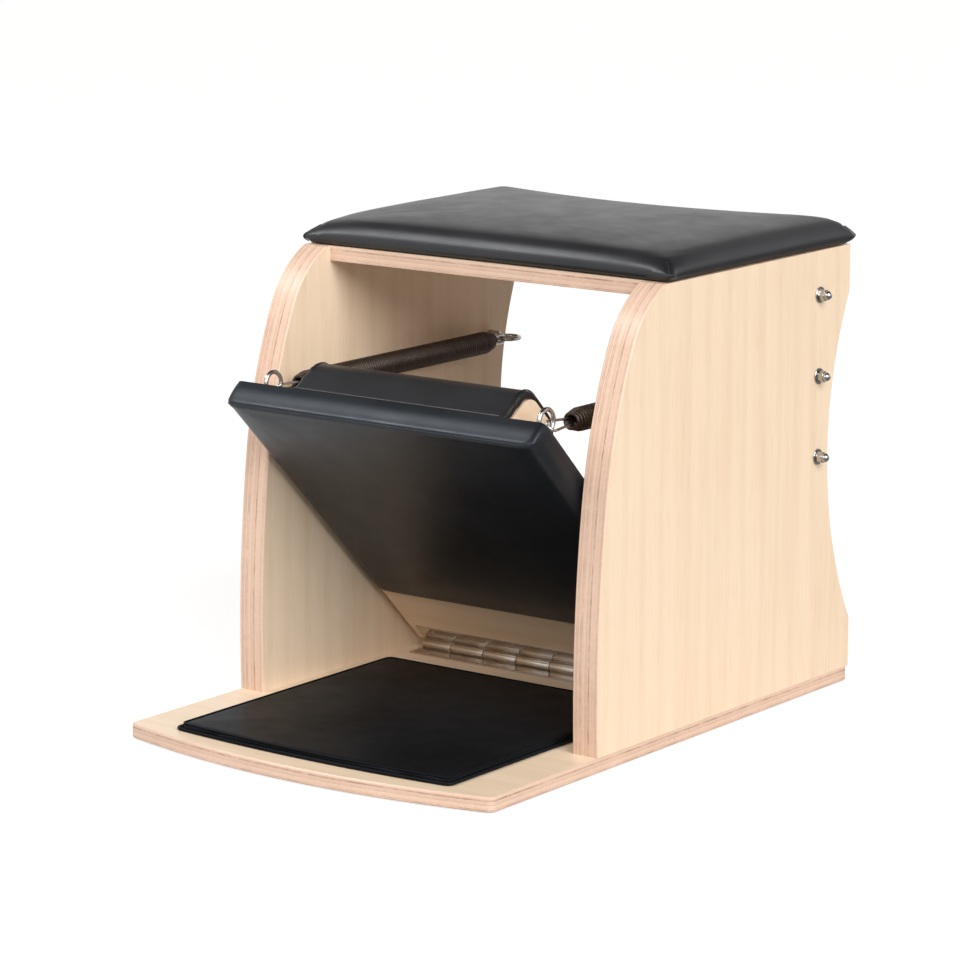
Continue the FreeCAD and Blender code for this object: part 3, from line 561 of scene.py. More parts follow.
def coil_tree():
    """Tree that winds a spring along +Z with drawn-in ends."""
    def build(tree, given):
        count = maths(tree, "MULTIPLY_ADD", given["Turns"], given["Steps"], 1.0)
        top = add(tree, "ShaderNodeCombineXYZ", {"Z": given["Length"]})
        middle = add(tree, "GeometryNodeCurvePrimitiveLine", {"End": top.outputs["Vector"]})
        fine = add(tree, "GeometryNodeResampleCurve", {"Curve": middle.outputs["Curve"], "Count": count})
        share = add(tree, "GeometryNodeSplineParameter").outputs["Factor"]
        other = maths(tree, "SUBTRACT", 1.0, share)
        near_end = maths(tree, "MULTIPLY", maths(tree, "MINIMUM", share, other), given["Turns"])
        full = ranged(tree, near_end, 0.0, given["Drawn turns"], smooth=True)
        wide = maths(tree, "SUBTRACT", given["Diameter"], given["Wire"])
        slim = maths(tree, "SUBTRACT", given["Tip"], given["Wire"])
        across = maths(tree, "MULTIPLY_ADD", maths(tree, "SUBTRACT", wide, slim), full, slim)
        radius = maths(tree, "MULTIPLY", across, 0.5)
        angle = maths(tree, "MULTIPLY", maths(tree, "MULTIPLY", share, given["Turns"]), 2 * math.pi)
        spot = add(tree, "ShaderNodeCombineXYZ", {
            "X": maths(tree, "MULTIPLY", radius, maths(tree, "COSINE", angle)),
            "Y": maths(tree, "MULTIPLY", radius, maths(tree, "SINE", angle)),
            "Z": maths(tree, "MULTIPLY", share, given["Length"])})
        wound = add(tree, "GeometryNodeSetPosition", {
            "Geometry": fine.outputs["Curve"], "Position": spot.outputs["Vector"]})
        thin = maths(tree, "MULTIPLY", given["Wire"], 0.5)
        return swept(tree, wound.outputs["Geometry"], thin, given["Sides"])

    return new_tree("Wound spring", (
        ("Length", "Float", 0.4), ("Diameter", "Float", 0.029), ("Tip", "Float", 0.02),
        ("Wire", "Float", 0.0045), ("Turns", "Float", 60.0), ("Drawn turns", "Float", 4.0),
        ("Steps", "Int", 24), ("Sides", "Int", 10)), build)


def made_by(tree, carrier, name, values):
    """Plain mesh that a node tree makes on a carrier, with its inputs set by name."""
    modifier = carrier.modifiers.new(tree.name, "NODES")
    modifier.node_group = tree
    sockets = {item.name: item.identifier for item in tree.interface.items_tree if item.in_out == "INPUT"}
    for label, value in values.items():
        modifier[sockets[label]] = value
    return plain(carrier, name)


def repeated(name, shape_mesh, points, facing, look, turn):
    """One mesh with a shape at each point. The shape is drawn along +Z and faces along facing."""
    shape = linked(name + "_shape", shape_mesh)
    spots = bpy.data.meshes.new(name + "_points")
    spots.from_pydata([tuple(point) for point in points], [], [])
    carrier = linked(name + "_points", spots)
    rotation = Z_AXIS.rotation_difference(facing).to_euler()
    mesh = made_by(repeat_tree(), carrier, name, {
        "Shape": shape, "Facing": rotation, "Turn": turn, "Finish": finish(look)})
    bpy.data.objects.remove(shape)
    return mesh


def placed(name, mesh, look, body, slot, *nodes):
    """Finished piece on a body, with a finish, standing for CAD nodes. slot is not used."""
    mesh.materials.clear()
    mesh.materials.append(finish(look))
    piece = linked(name, mesh)
    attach(piece, body)
    if nodes:
        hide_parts(*nodes)
    return piece


def joined(name, meshes):
    """One mesh from several."""
    shape = bmesh.new()
    for mesh in meshes:
        shape.from_mesh(mesh)
        bpy.data.meshes.remove(mesh)
    mesh = bpy.data.meshes.new(name)
    shape.to_mesh(mesh)
    shape.free()
    return mesh


# Upholstery
def soft_ring(low, high, inset, radius, bends, height):
    """Points round a rectangle with round corners and bent sides. bends is how far the front, right,
    rear and left sides pull in at their middles."""
    u_low, v_low = low[0] + inset, low[1] + inset
    u_high, v_high = high[0] - inset, high[1] - inset
    corners = [
        (Vector((u_low + radius, v_low)), Vector((u_high - radius, v_low)), Vector((0, 1)), -90),
        (Vector((u_high, v_low + radius)), Vector((u_high, v_high - radius)), Vector((-1, 0)), 0),
        (Vector((u_high - radius, v_high)), Vector((u_low + radius, v_high)), Vector((0, -1)), 90),
        (Vector((u_low, v_high - radius)), Vector((u_low, v_low + radius)), Vector((1, 0)), 180),
    ]
    points = []
    for (start, end, inward, angle), bend in zip(corners, bends):
        for number in range(24):
            share = number / 24
            pull = bend * 4 * share * (1 - share)
            points.append(start.lerp(end, share) + inward * pull)
        centre = end + inward * radius
        for number in range(8):
            turn = math.radians(angle + 90 * number / 8)
            points.append(centre + Vector((math.cos(turn), math.sin(turn))) * radius)
    return [Vector((point.x, point.y, height)) for point in points]


def blown_up(cover, held, swell):
    """Blow a cover up as cloth, held where a test says, and bring it down so that it swells by swell at
    most."""
    start = [vertex.co.copy() for vertex in cover.data.vertices]
    outward = [vertex.normal.copy() for vertex in cover.data.vertices]
    group = cover.vertex_groups.new(name="held")
    group.add([number for number, place in enumerate(start) if held(place)], 1.0, "REPLACE")
    blown = cover.modifiers.new("Stuffing", "CLOTH")
    blown.settings.quality = 4
    blown.settings.mass = 0.3
    blown.settings.use_pressure = True
    blown.settings.uniform_pressure_force = CLOTH_PRESSURE
    blown.settings.effector_weights.gravity = 0.0
    blown.settings.vertex_group_mass = "held"
    blown.collision_settings.use_collision = False
    blown.point_cache.frame_start = 1
    blown.point_cache.frame_end = CLOTH_FRAMES
    for number in range(1, CLOTH_FRAMES + 1):
        bpy.context.scene.frame_set(number)
    graph = bpy.context.evaluated_depsgraph_get()
    ends = [vertex.co.copy() for vertex in cover.evaluated_get(graph).data.vertices]
    cover.modifiers.remove(blown)
    cover.vertex_groups.clear()
    bpy.context.scene.frame_set(1)
    rises = [max(0.0, (last - first).dot(normal)) for first, last, normal in zip(start, ends, outward)]
    share = swell / max(rises)
    for vertex, first, normal, rise in zip(cover.data.vertices, start, outward, rises):
        vertex.co = first + normal * (rise * share)


def stuffed(name, mesh, held, swell, voxel=COVER_VOXEL):
    """Cover swollen by its stuffing: the closed mesh is remeshed evenly, blown up, smoothed and
    subdivided."""
    carrier = linked(name, mesh)
    even = carrier.modifiers.new("Even", "REMESH")
    even.mode = "VOXEL"
    even.voxel_size = voxel
    cover = linked(name, plain(carrier, name))
    blown_up(cover, held, swell)
    shape = bmesh.new()
    shape.from_mesh(cover.data)
    bmesh.ops.smooth_vert(
        shape, verts=shape.verts, factor=0.5, use_axis_x=True, use_axis_y=True, use_axis_z=True)
    shape.to_mesh(cover.data)
    shape.free()
    finer = cover.modifiers.new("Finer", "SUBSURF")
    finer.levels = 1
    finer.render_levels = 1
    done = plain(cover, name)
    done.polygons.foreach_set("use_smooth", [True] * len(done.polygons))
    return done


def pressed(mesh, points, depth, reach):
    """Press a seam's groove into a mesh along a line of points. A negative depth raises a ridge."""
    far = 3 * reach
    line = KDTree(len(points))
    for number, point in enumerate(points):
        line.insert(point, number)
    line.balance()
    for vertex in mesh.vertices:
        place, number, near = line.find(vertex.co)
        if near < far:
            vertex.co -= vertex.normal * (depth * math.exp(-near * near / (reach * reach)))


def on_surface(mesh, rays):
    """Points where rays meet a mesh."""
    shape = bmesh.new()
    shape.from_mesh(mesh)
    tree = BVHTree.FromBMesh(shape)
    shape.free()
    places = [tree.ray_cast(start, way)[0] for start, way in rays]
    return [place for place in places if place]


# Places and aims that several steps share
def eye_places(side):
    """Node, depth and height of each eye bolt in a side panel."""
    places = []
    for row in ("lower", "middle", "upper"):
        node = side + "_" + row + "_eye_bolt"
        low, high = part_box(node)
        places.append((node, (low.y + high.y) / 2, (low.z + high.z) / 2))
    return places


def pedal_eye(sign):
    """Middle of the ring in a top corner of the pedal."""
    return PEDAL_PLACE @ Vector((sign * SPRING_REAR.x, RING_DEPTH, RING_RISE))


def aimed(name, data, place, way):
    """Camera or lamp at a place, looking along a direction."""
    holder = linked(name, data)
    holder.location = place
    holder.rotation_euler = way.to_track_quat("-Z", "Y").to_euler()
    return holder


# Operators
class CHAIR_OT_stage(bpy.types.Operator):
    """Camera, floor, lamps and the pale surround"""
    bl_idname = "chair.stage"
    bl_label = "Stage"

    def execute(self, context):
        scene = context.scene
        camera_data = bpy.data.cameras.new("Camera")
        camera_data.lens = CAMERA_LENS
        camera_data.sensor_width = 36.0
        camera_data.clip_end = 100.0
        scene.camera = aimed("Camera", camera_data, CAMERA_PLACE, CAMERA_WAY)
        scene.view_settings.view_transform = "Standard"

        floor_mesh = bpy.data.meshes.new("Floor")
        reach = 30.0
        corners = [(-reach, -reach, 0), (reach, -reach, 0), (reach, reach, 0), (-reach, reach, 0)]
        floor_mesh.from_pydata(corners, [], [(0, 1, 2, 3)])
        floor = linked("Floor", floor_mesh)
        material = bpy.data.materials.new("Pale floor")
        material.use_nodes = True
        tree = material.node_tree
        tree.nodes.clear()
        place = add(tree, "ShaderNodeTexCoord").outputs["Object"]
        # Painted shade in reflections: a glossy ray sees the floor as a darker grey, darker still towards +X,
        # though the camera sees it evenly pale
        side = add(tree, "ShaderNodeSeparateXYZ", {"Vector": place}).outputs["X"]
        seen = self.seen_directly(tree, ranged(tree, side, -0.3, 0.5, 0.95, 0.12))
        glossy = add(tree, "ShaderNodeLightPath").outputs["Is Glossy Ray"]
        # Painted shade: in reflections the floor's diffuse tone drops from 0.80 to 0.20
        painted_reflection_shade_tone = mixed(tree, glossy, (0.80, 0.80, 0.80), (0.20, 0.20, 0.20))
        pale = add(tree, "ShaderNodeBsdfDiffuse", {"Color": painted_reflection_shade_tone})
        shaded = add(tree, "ShaderNodeBsdfDiffuse", {"Color": (0.33, 0.33, 0.33, 1)})
        bright = add(tree, "ShaderNodeEmission", {"Color": (1, 1, 1, 1), "Strength": 0.79})
        white = add(tree, "ShaderNodeAddShader", {0: shaded.outputs[0], 1: bright.outputs[0]})
        whole = add(tree, "ShaderNodeMixShader", {0: seen, 1: pale.outputs[0], 2: white.outputs[0]})
        add(tree, "ShaderNodeOutputMaterial", {"Surface": whole.outputs[0]})
        floor_mesh.materials.append(material)

        world = bpy.data.worlds.new("Studio")
        scene.world = world
        world.use_nodes = True
        tree = world.node_tree
        tree.nodes.clear()
        seen = self.seen_directly(tree, 1.0)
        soft = add(tree, "ShaderNodeBackground", {"Color": (1, 0.90, 0.76, 1), "Strength": 0.15})
        way = add(tree, "ShaderNodeTexCoord").outputs["Generated"]
        height = add(tree, "ShaderNodeSeparateXYZ", {"Vector": way}).outputs["Z"]
        glow = ranged(tree, height, 0.40, 0.64, 1.0, 0.06, True)
        bright = add(tree, "ShaderNodeBackground", {"Color": (1, 1, 1, 1), "Strength": glow})
        whole = add(tree, "ShaderNodeMixShader", {0: seen, 1: soft.outputs[0], 2: bright.outputs[0]})
        add(tree, "ShaderNodeOutputWorld", {"Surface": whole.outputs[0]})

        for name, place, size, power in LAMPS:
            lamp = bpy.data.lights.new(name, "AREA")
            lamp.shape = "SQUARE"
            lamp.size = size
            lamp.energy = power
            aimed(name, lamp, place, LAMP_AIM - place)
        sun = bpy.data.lights.new("Key", "SUN")
        sun.energy = 3.0
        sun.angle = math.radians(40)
        aimed("Key", sun, Vector(), SUN_WAY)
        return {"FINISHED"}

    def seen_directly(self, tree, mirrored):
        """1 where the camera or glass looks at the surround, and mirrored where a reflection does."""
        path = add(tree, "ShaderNodeLightPath").outputs
        glossy = maths(tree, "MULTIPLY", path["Is Glossy Ray"], mirrored)
        seen = maths(tree, "MAXIMUM", path["Is Camera Ray"], glossy)
        return maths(tree, "MAXIMUM", seen, path["Is Transmission Ray"])


class CHAIR_OT_boards(bpy.types.Operator):
    """Plywood finish on the boards, and rubber on the grip pads"""
    bl_idname = "chair.boards"
    bl_label = "Boards"

    def execute(self, context):
        finishes = {
            "right_side_panel": "Plywood panel", "left_side_panel": "Plywood panel left",
            "base_board": "Plywood base", "seat_board": "Plywood seat", "seat_cushion_board": "Plywood seat",
            "pedal_board": "Plywood pedal", "foot_bar_core": "Foot bar wood", "grip_pads": "Grip rubber",
            "hinge_pin": "Hinge steel", "pedal_tee_nuts": "Nickel", "base_screws": "Dark screw",
            "seat_cushion_screws": "Dark screw", "foot_bar_screws": "Dark screw",
        }
        for node, name in finishes.items():
            mesh = NODES[node].data
            mesh.materials.clear()
            mesh.materials.append(finish(name))
        return {"FINISHED"}


class CHAIR_OT_seat_cushion(bpy.types.Operator):
    """Crowned seat cushion with sewn corners"""
    bl_idname = "chair.seat_cushion"
    bl_label = "Seat cushion"

    def execute(self, context):
        sizes = context.scene.chair_sizes
        low = CUSHION_LOW.xy
        high = CUSHION_HIGH.xy
        floor = CUSHION_LOW.z
        bends = (0.003, 0.0025, 0.038, 0.0025)
        corner_reach = 0.045
        tip_reach = 0.012
        tip_height = 0.012
        tip_span = 0.017
        full_rise = 0.024
        front_part = 0.15
        seam_foot = 0.003
        seam_rise = 0.020
        profile = (
            (0.0030, 0.0003), (-0.0010, 0.0030), (-0.0036, 0.0080), (-0.0034, 0.0130), (-0.0010, 0.0182),
            (0.0024, 0.0228), (0.0062, 0.0270), (0.0110, 0.0306), (0.0170, 0.0334), (0.0240, 0.0352),
            (0.0340, 0.0367), (0.0500, 0.0382), (0.0750, 0.0395), (0.1100, 0.0406), (0.1500, 0.0412),
        )

        def ring(inset, rise):
            points = soft_ring(low, high, inset, 0.003, bends, floor)
            for point in points:
                from_side = high.x - abs(point.x)
                from_end = min(point.y - low.y, high.y - point.y)
                away = max(0.0, from_side, from_end)
                corner = math.exp(-away / corner_reach) * min(1.0, rise / full_rise)
                tip = math.exp(-away / tip_reach) * max(0.0, 1 - abs(rise - tip_height) / tip_span)
                forward = point.y < front_part
                pinch = 0.30 if forward else 0.05
                point.x += math.copysign(0.004 * tip, point.x)
                point.y += -0.002 * tip if forward else 0.004 * tip
                point.z += rise * (1 - pinch * corner)
            return points

        cover = stuffed(
            "seat_cushion", drawn("seat_cushion_core", lofted(ring, profile)),
            lambda place: place.z < floor + 0.006, sizes.cushion_swell)
        seams = []
        for side_x in (low.x, high.x):
            for side_y in (low.y, high.y):
                away = Vector((math.copysign(1, side_x), -1 if side_y == low.y else 1, 0))
                inner = Vector((side_x, side_y, 0)) - away * 0.05
                rays = []
                for number in range(13):
                    height = floor + seam_foot + seam_rise * number / 12
                    rays.append((Vector((inner.x, inner.y, height)) + away * 0.1, -away.normalized()))
                seams.append(on_surface(cover, rays))
        for seam in seams:
            pressed(cover, seam, depth=0.0012, reach=0.003)
        piece = placed("seat_cushion_cover", cover, "Vinyl", "frame", "black_vinyl", "seat_cushion")
        threads = [wire_mesh("seat_seam", seam, radius=0.0007, sides=8) for seam in seams]
        placed("seat_cushion_seams", joined("seat_cushion_seams", threads), "Vinyl", "frame", "black_vinyl")
        return {"FINISHED"}


class CHAIR_OT_base_mat(bpy.types.Operator):
    """Mat on the base with a welt round its foot and another round its top"""
    bl_idname = "chair.base_mat"
    bl_label = "Base mat"

    def execute(self, context):
        sizes = context.scene.chair_sizes
        bow = 0.010
        low = Vector((MAT_LOW.x, MAT_LOW.y + bow))
        high = MAT_HIGH.xy
        floor = MAT_LOW.z
        profile = (
            (0.0036, 0.0003), (0.0030, 0.002), (0.0032, 0.006), (0.0046, 0.0084), (0.010, 0.0090),
            (0.08, 0.0092),
        )

        def ring(inset, rise):
            return soft_ring(low, high, inset, 0.008, (-bow, 0.0, 0.0, 0.0), floor + rise)

        cover = stuffed(
            "base_mat", drawn("base_mat_core", lofted(ring, profile)),
            lambda place: place.z < floor + 0.003, sizes.pad_swell * 0.5)
        piece = placed("base_mat_cover", cover, "Mat vinyl", "frame", "black_vinyl", "base_mat")
        foot = wire_mesh("mat_foot_welt", ring(0.0024, 0.0025), radius=0.0023, cyclic=True)
        rim = wire_mesh("mat_rim_welt", ring(0.0068, 0.0082), radius=0.0013, cyclic=True)
        placed("base_mat_welts", joined("base_mat_welts", [foot, rim]), "Mat vinyl", "frame", "black_vinyl")
        return {"FINISHED"}


class CHAIR_OT_pedal_pad(bpy.types.Operator):
    """Thin upholstery over the pedal, with a sewn front edge"""
    bl_idname = "chair.pedal_pad"
    bl_label = "Pedal pad"

    def execute(self, context):
        sizes = context.scene.chair_sizes
        front = PEDAL_FACE - 0.0062
        thickened = 0.0053
        profile = (
            (0.0, 0.0028, PEDAL_BACK + 0.008), (0.0, 0.0026, PEDAL_BACK - 0.001),
            (0.0, 0.0010, PEDAL_BACK - 0.005), (0.0, 0.0, PEDAL_BACK - 0.011), (0.0, 0.0, front + 0.012),
            (0.0016, 0.0, front + 0.0075), (0.0046, 0.0002, front + 0.0040), (0.0090, 0.0010, front + 0.0016),
            (0.0160, 0.0034, front + 0.0003), (0.0340, 0.0200, front - 0.0008), (0.11, 0.09, front - 0.0022),
        )

        def ring(side, rise, depth):
            wide = PAD_HALF + 0.0012 - side
            low = Vector((-wide, PAD_START + rise / 2))
            high = Vector((wide, PAD_END - rise))
            points = []
            for point in soft_ring(low, high, 0.0, 0.003, (0.0004, 0.0004, 0.0004, 0.0004), 0.0):
                share = max(0.0, min(1.0, (point.y - PAD_START) / (PAD_END - PAD_START)))
                thicker = thickened * share * (PEDAL_BACK - depth) / (PEDAL_BACK - front)
                points.append(Vector((point.x, depth - max(0.0, thicker), point.y)))
            return points

        cover = stuffed(
            "pedal_pad", drawn("pedal_pad_core", lofted(ring, profile)),
            lambda place: place.y > PEDAL_BACK - 0.006, sizes.pad_swell)
        board_half = PAD_HALF - PAD_WRAP
        board_end = PAD_END - PAD_WRAP
        cover = self.cut(cover, Vector((-board_half, PEDAL_FACE, 0)), Vector((board_half, 0.1, board_end)))
        cover = self.cut(cover, Vector((-1, PEDAL_BACK, -1)), Vector((1, 1, 1)))
        smoothed(cover, 50)
        rays = []
        reach = PAD_HALF - 0.004
        for number in range(161):
            start = Vector((-reach + reach * number / 80, front - thickened - 0.03, PAD_END + 0.03))
            rays.append((start, Vector((0, 1, -1)).normalized()))
        pressed(cover, on_surface(cover, rays), depth=-0.0017, reach=0.0050)
        edge = on_surface(cover, rays)
        cover.transform(PEDAL_PLACE)
        piece = placed("pedal_pad_cover", cover, "Pedal vinyl", "pedal", "black_vinyl", "pedal_pad")
        welt = wire_mesh("pedal_welt", edge, sizes.welt, sides=10)
        welt.transform(PEDAL_PLACE)
        placed("pedal_pad_welt", welt, "Pedal vinyl", "pedal", "black_vinyl")
        return {"FINISHED"}

    def cut(self, cover, low, high):
        """Cover with a box cut out of it."""
        corners = [(low.x, low.z), (high.x, low.z), (high.x, high.z), (low.x, high.z)]

        def ring(depth):
            return [Vector((x, depth, z)) for x, z in corners]

        cutter = linked("pedal_cutter", drawn("pedal_cutter", lofted(ring, ((low.y,), (high.y,)))))
        carrier = linked("pedal_pad_cut", cover)
        away = carrier.modifiers.new("Pocket", "BOOLEAN")
        away.operation = "DIFFERENCE"
        away.solver = "MANIFOLD"
        away.object = cutter
        done = plain(carrier, "pedal_pad_cover")
        bpy.data.objects.remove(cutter)
        return done


class CHAIR_OT_foot_bar(bpy.types.Operator):
    """Padding wrapped over the foot bar's wooden core"""
    bl_idname = "chair.foot_bar"
    bl_label = "Foot bar"

    def execute(self, context):
        sizes = context.scene.chair_sizes
        half = 0.157
        thick = 0.008
        thicker = 0.0045
        loop = self.section(thick - 0.0004, thicker) + list(reversed(self.section(0.0004, 0.0)))
        hem_in = 0.006
        ends = ((-half,), (-half + hem_in,), (half - hem_in,), (half,))

        def ring(x):
            return [Vector((x, depth, height)) for depth, height in loop]

        cover = stuffed(
            "foot_bar_pad", drawn("foot_bar_core_pad", lofted(ring, ends)),
            lambda place: place.y < PEDAL_BACK + 0.004, sizes.pad_swell * 0.4, 0.004)
        cover.transform(PEDAL_PLACE)
        piece = placed("foot_bar_cover", cover, "Vinyl", "pedal", "black_vinyl", "foot_bar_pad")
        hem = [Vector(((half - 0.005) * share / 6, PEDAL_BACK + 0.0090, 0.5068)) for share in range(-6, 7)]
        seams = [wire_mesh("bar_hem", hem, radius=0.0020, sides=10)]
        route = self.section(thick + 0.0002, thicker)[1:-1]
        for side, sign in SIDES:
            line = [Vector((sign * (half - hem_in), depth, height)) for depth, height in route]
            seams.append(wire_mesh("bar_seam", line, radius=0.0007, sides=8))
        trim = joined("foot_bar_trim", seams)
        trim.transform(PEDAL_PLACE)
        placed("foot_bar_trim", trim, "Vinyl", "pedal", "black_vinyl")
        return {"FINISHED"}

    def section(self, margin, thicker):
        """Half round of the bar seen from its end, from its front foot over its top to its rear foot. The
        front is thicker by an amount."""
        lean = math.radians(12)
        tall = 0.060 + margin
        grow = margin / math.cos(lean)
        front = 0.495 + grow + thicker
        rear = 0.403 - grow
        corners = [
            Vector((PEDAL_BACK + 0.0003, front)), Vector((PEDAL_BACK + tall, front - tall * math.tan(lean))),
            Vector((PEDAL_BACK + tall, rear + tall * math.tan(lean))), Vector((PEDAL_BACK + 0.0003, rear)),
        ]
        radius = 0.022 + margin
        points = [corners[0]]
        for before, corner, after in zip(corners, corners[1:], corners[2:]):
            one = (before - corner).normalized()
            two = (after - corner).normalized()
            half_turn = math.acos(max(-1.0, min(1.0, one.dot(two)))) / 2
            reach = radius / math.tan(half_turn)
            centre = corner + (one + two).normalized() * (radius / math.sin(half_turn))
            start = corner + one * reach - centre
            end = corner + two * reach - centre
            sweep = start.angle_signed(end)
            for number in range(13):
                points.append(centre + Matrix.Rotation(-sweep * number / 12, 2) @ start)
        points.append(corners[3])
        return [(point.x, point.y) for point in points]


class CHAIR_OT_hinge(bpy.types.Operator):
    """Piano hinge: two leaves with rolled knuckles, and cross-recessed screws"""
    bl_idname = "chair.hinge"
    bl_label = "Hinge"

    def execute(self, context):
        pin_low, pin_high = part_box("hinge_pin")
        half = pin_high.x
        first_knuckle = 0.046
        knuckle_pitch = 0.052
        least_knuckle = 0.013
        screw_margin = 0.024
        screw_row = 0.023
        cuts = [-half]
        place = -half + first_knuckle
        while place < half - least_knuckle:
            cuts.append(place)
            place += knuckle_pitch
        cuts.append(half)
        spans = list(zip(cuts, cuts[1:]))
        across = half - screw_margin
        spots = [-across + 2 * across * number / 3 for number in range(4)]
        upright = PEDAL_PLACE @ Matrix.Rotation(math.pi / 2, 4, "X")
        leaves = (
            ("base", "frame", 0, -1, Matrix.Translation(HINGE)), ("pedal", "pedal", 1, 1, upright),
        )
        for name, body, first, forward, turn in leaves:
            leaf = self.leaf(name, half, spans[first::2], forward)
            leaf.transform(turn)
            node = "hinge_" + name + "_leaf"
            placed(node + "_rolled", leaf, "Hinge steel", body, "hinge_steel", node)
            places = [turn @ Vector((x, forward * screw_row, -0.005)) for x in spots]
            facing = (turn.to_3x3() @ Z_AXIS).normalized()
            node = "hinge_" + name + "_screws"
            heads = repeated(node, drawn(node, self.screw_head), places, facing, "Nickel", math.pi / 2)
            placed(node + "_cut", heads, "Nickel", body, "hinge_steel", node)
        return {"FINISHED"}

    def leaf(self, name, half, spans, forward):
        """Leaf that lies along forward from the axis, with its knuckles. Its back face is down."""
        def slab(shape, left, right, near, far):
            low = -0.007
            high = -0.005
            edge = 0.0004
            ring = [
                (near, low), (far - edge, low), (far, low + edge), (far, high - edge), (far - edge, high),
                (near, high),
            ]
            loft(shape, [[Vector((x, forward * y, z)) for y, z in ring] for x in (left, right)])

        near_axis = 0.0055
        leaf_width = 0.031
        gap = 0.0005

        def build(shape):
            slab(shape, -half, half, near_axis, leaf_width)
            for start, end in spans:
                left = start + gap
                right = end - gap
                slab(shape, left, right, 0.0, 0.0060)
                long = right - left
                turned(shape, Vector((left, 0, 0)), X_AXIS, [
                    (0, 0.0056), (0.0005, 0.0063), (0.0012, 0.0065), (long - 0.0012, 0.0065),
                    (long - 0.0005, 0.0063), (long, 0.0056)], 48)

        return drawn("hinge_" + name, build)

    def screw_head(self, shape):
        """Countersunk head along +Z with a cross recess."""
        arm = 0.0006
        reach = 0.0022
        top = 0.0002
        bottom = -0.0009
        cross = []
        for quarter in range(4):
            turn = Matrix.Rotation(math.pi / 2 * quarter, 2)
            cross += [turn @ Vector(corner) for corner in ((arm, arm), (reach, arm), (reach, -arm))]
        cross = sorted(cross, key=lambda corner: math.atan2(corner.y, corner.x))
        profile = ((top, 0.0036), (0.0001, 0.0039), (-0.0002, 0.0039), (-0.0019, 0.0022), (-0.0110, 0.0016))
        loft(shape, circles(profile, 36), capped=False)
        loft(shape, [
            [Vector((corner.x, corner.y, top)) for corner in cross],
            [Vector((corner.x * 0.8, corner.y * 0.8, bottom)) for corner in cross],
        ], capped=False)
        low_rims = [edge for edge in shape.edges if edge.is_boundary and edge.verts[0].co.z < -0.0008]
        bmesh.ops.holes_fill(shape, edges=low_rims)
        rims = [edge for edge in shape.edges if edge.is_boundary]
        bmesh.ops.triangle_fill(shape, edges=rims, use_beauty=True)


class CHAIR_OT_springs(bpy.types.Operator):
    """Two wound springs with hairpin hooks"""
    bl_idname = "chair.springs"
    bl_label = "Springs"

    def execute(self, context):
        sizes = context.scene.chair_sizes
        coil_low, coil_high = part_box("right_spring_coil")
        slant = abs(SPRING_WAY.y)
        first = (SPRING_REAR.y - coil_high.y) / slant + sizes.coil_wire / 2
        last = (SPRING_REAR.y - coil_low.y) / slant - sizes.coil_wire / 2
        loop = 0.0145
        sag = math.radians(30)
        lean = math.radians(45)
        below = Y_AXIS * math.cos(sag) - Z_AXIS * math.sin(sag)
        hung = pedal_eye(1) + below * sizes.ring_radius - SPRING_REAR
        way = hung.normalized()
        bend = hung.length + loop / 2
        upright = X_AXIS.cross(way).normalized()
        slack = 0.0003
        rear_tip = 0.023
        wrap = sizes.ring_wire / 2 + slack + sizes.hook_wire / 2
        turn = Z_AXIS.rotation_difference(way).to_matrix().to_4x4()
        for side, sign in SIDES:
            rear = Vector((sign * SPRING_REAR.x, SPRING_REAR.y, SPRING_REAR.z))
            spot = bpy.data.meshes.new(side + "_coil_spot")
            mesh = made_by(coil_tree(), linked(side + "_coil_spot", spot), side + "_coil", {
                "Length": last - first, "Diameter": sizes.coil_diameter, "Tip": sizes.coil_tip,
                "Wire": sizes.coil_wire, "Turns": float(sizes.coil_turns), "Drawn turns": 4.0, "Steps": 22,
                "Sides": 10, "Finish": finish("Spring steel")})
            mesh.transform(Matrix.Translation(rear + way * first) @ turn)
            mesh.materials.clear()
            mesh.materials.append(finish("Spring steel"))
            coil = linked(side + "_coil_wire", mesh)
            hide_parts(side + "_spring_coil")
            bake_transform(coil)
            across = X_AXIS * (sign * math.cos(lean)) + upright * math.sin(lean)
            hooks = (
                ("_rear_hook", "_spring", upright, rear_tip, -wrap, 2 * wrap, 1),
                ("_front_hook", "_spring_end", across, last + sizes.coil_wire / 2, bend, loop, -1),
            )
            for hook, body, *bends in hooks:
                node = side + hook
                wire = wire_mesh(node, self.hairpin(rear, way, *bends), sizes.hook_wire / 2, sides=14)
                placed(node + "_wire", wire, "Nickel", side + body, "nickel_steel", node)
        return {"FINISHED"}

    def hairpin(self, rear, way, across, tip, bend, loop, inward):
        """Line of a hook from inside the coil's tip, round a ring and back."""
        half = loop / 2
        wire = bpy.context.scene.chair_sizes.hook_wire
        centre = bend + inward * half
        leg = [
            (tip + inward * (0.011 + wire), 0.0044), (tip + inward * (0.006 + wire), 0.0041),
            (tip + inward * wire, 0.0038), (tip, 0.0040),
            (tip * 0.5 + centre * 0.5, 0.0020 + half * 0.5), (centre + inward * 0.003, half * 0.94),
        ]
        curve = []
        reach = 1 / math.cos(math.pi / 12)
        for number in range(7):
            turn = math.pi * (0.5 - number / 6)
            stretch = 1.0 if number in (0, 6) else reach
            curve.append((centre - inward * half * stretch * math.cos(turn), half * stretch * math.sin(turn)))
        route = leg + curve + [(run, -wide) for run, wide in reversed(leg)]
        return [rear + way * run + across * wide for run, wide in route]


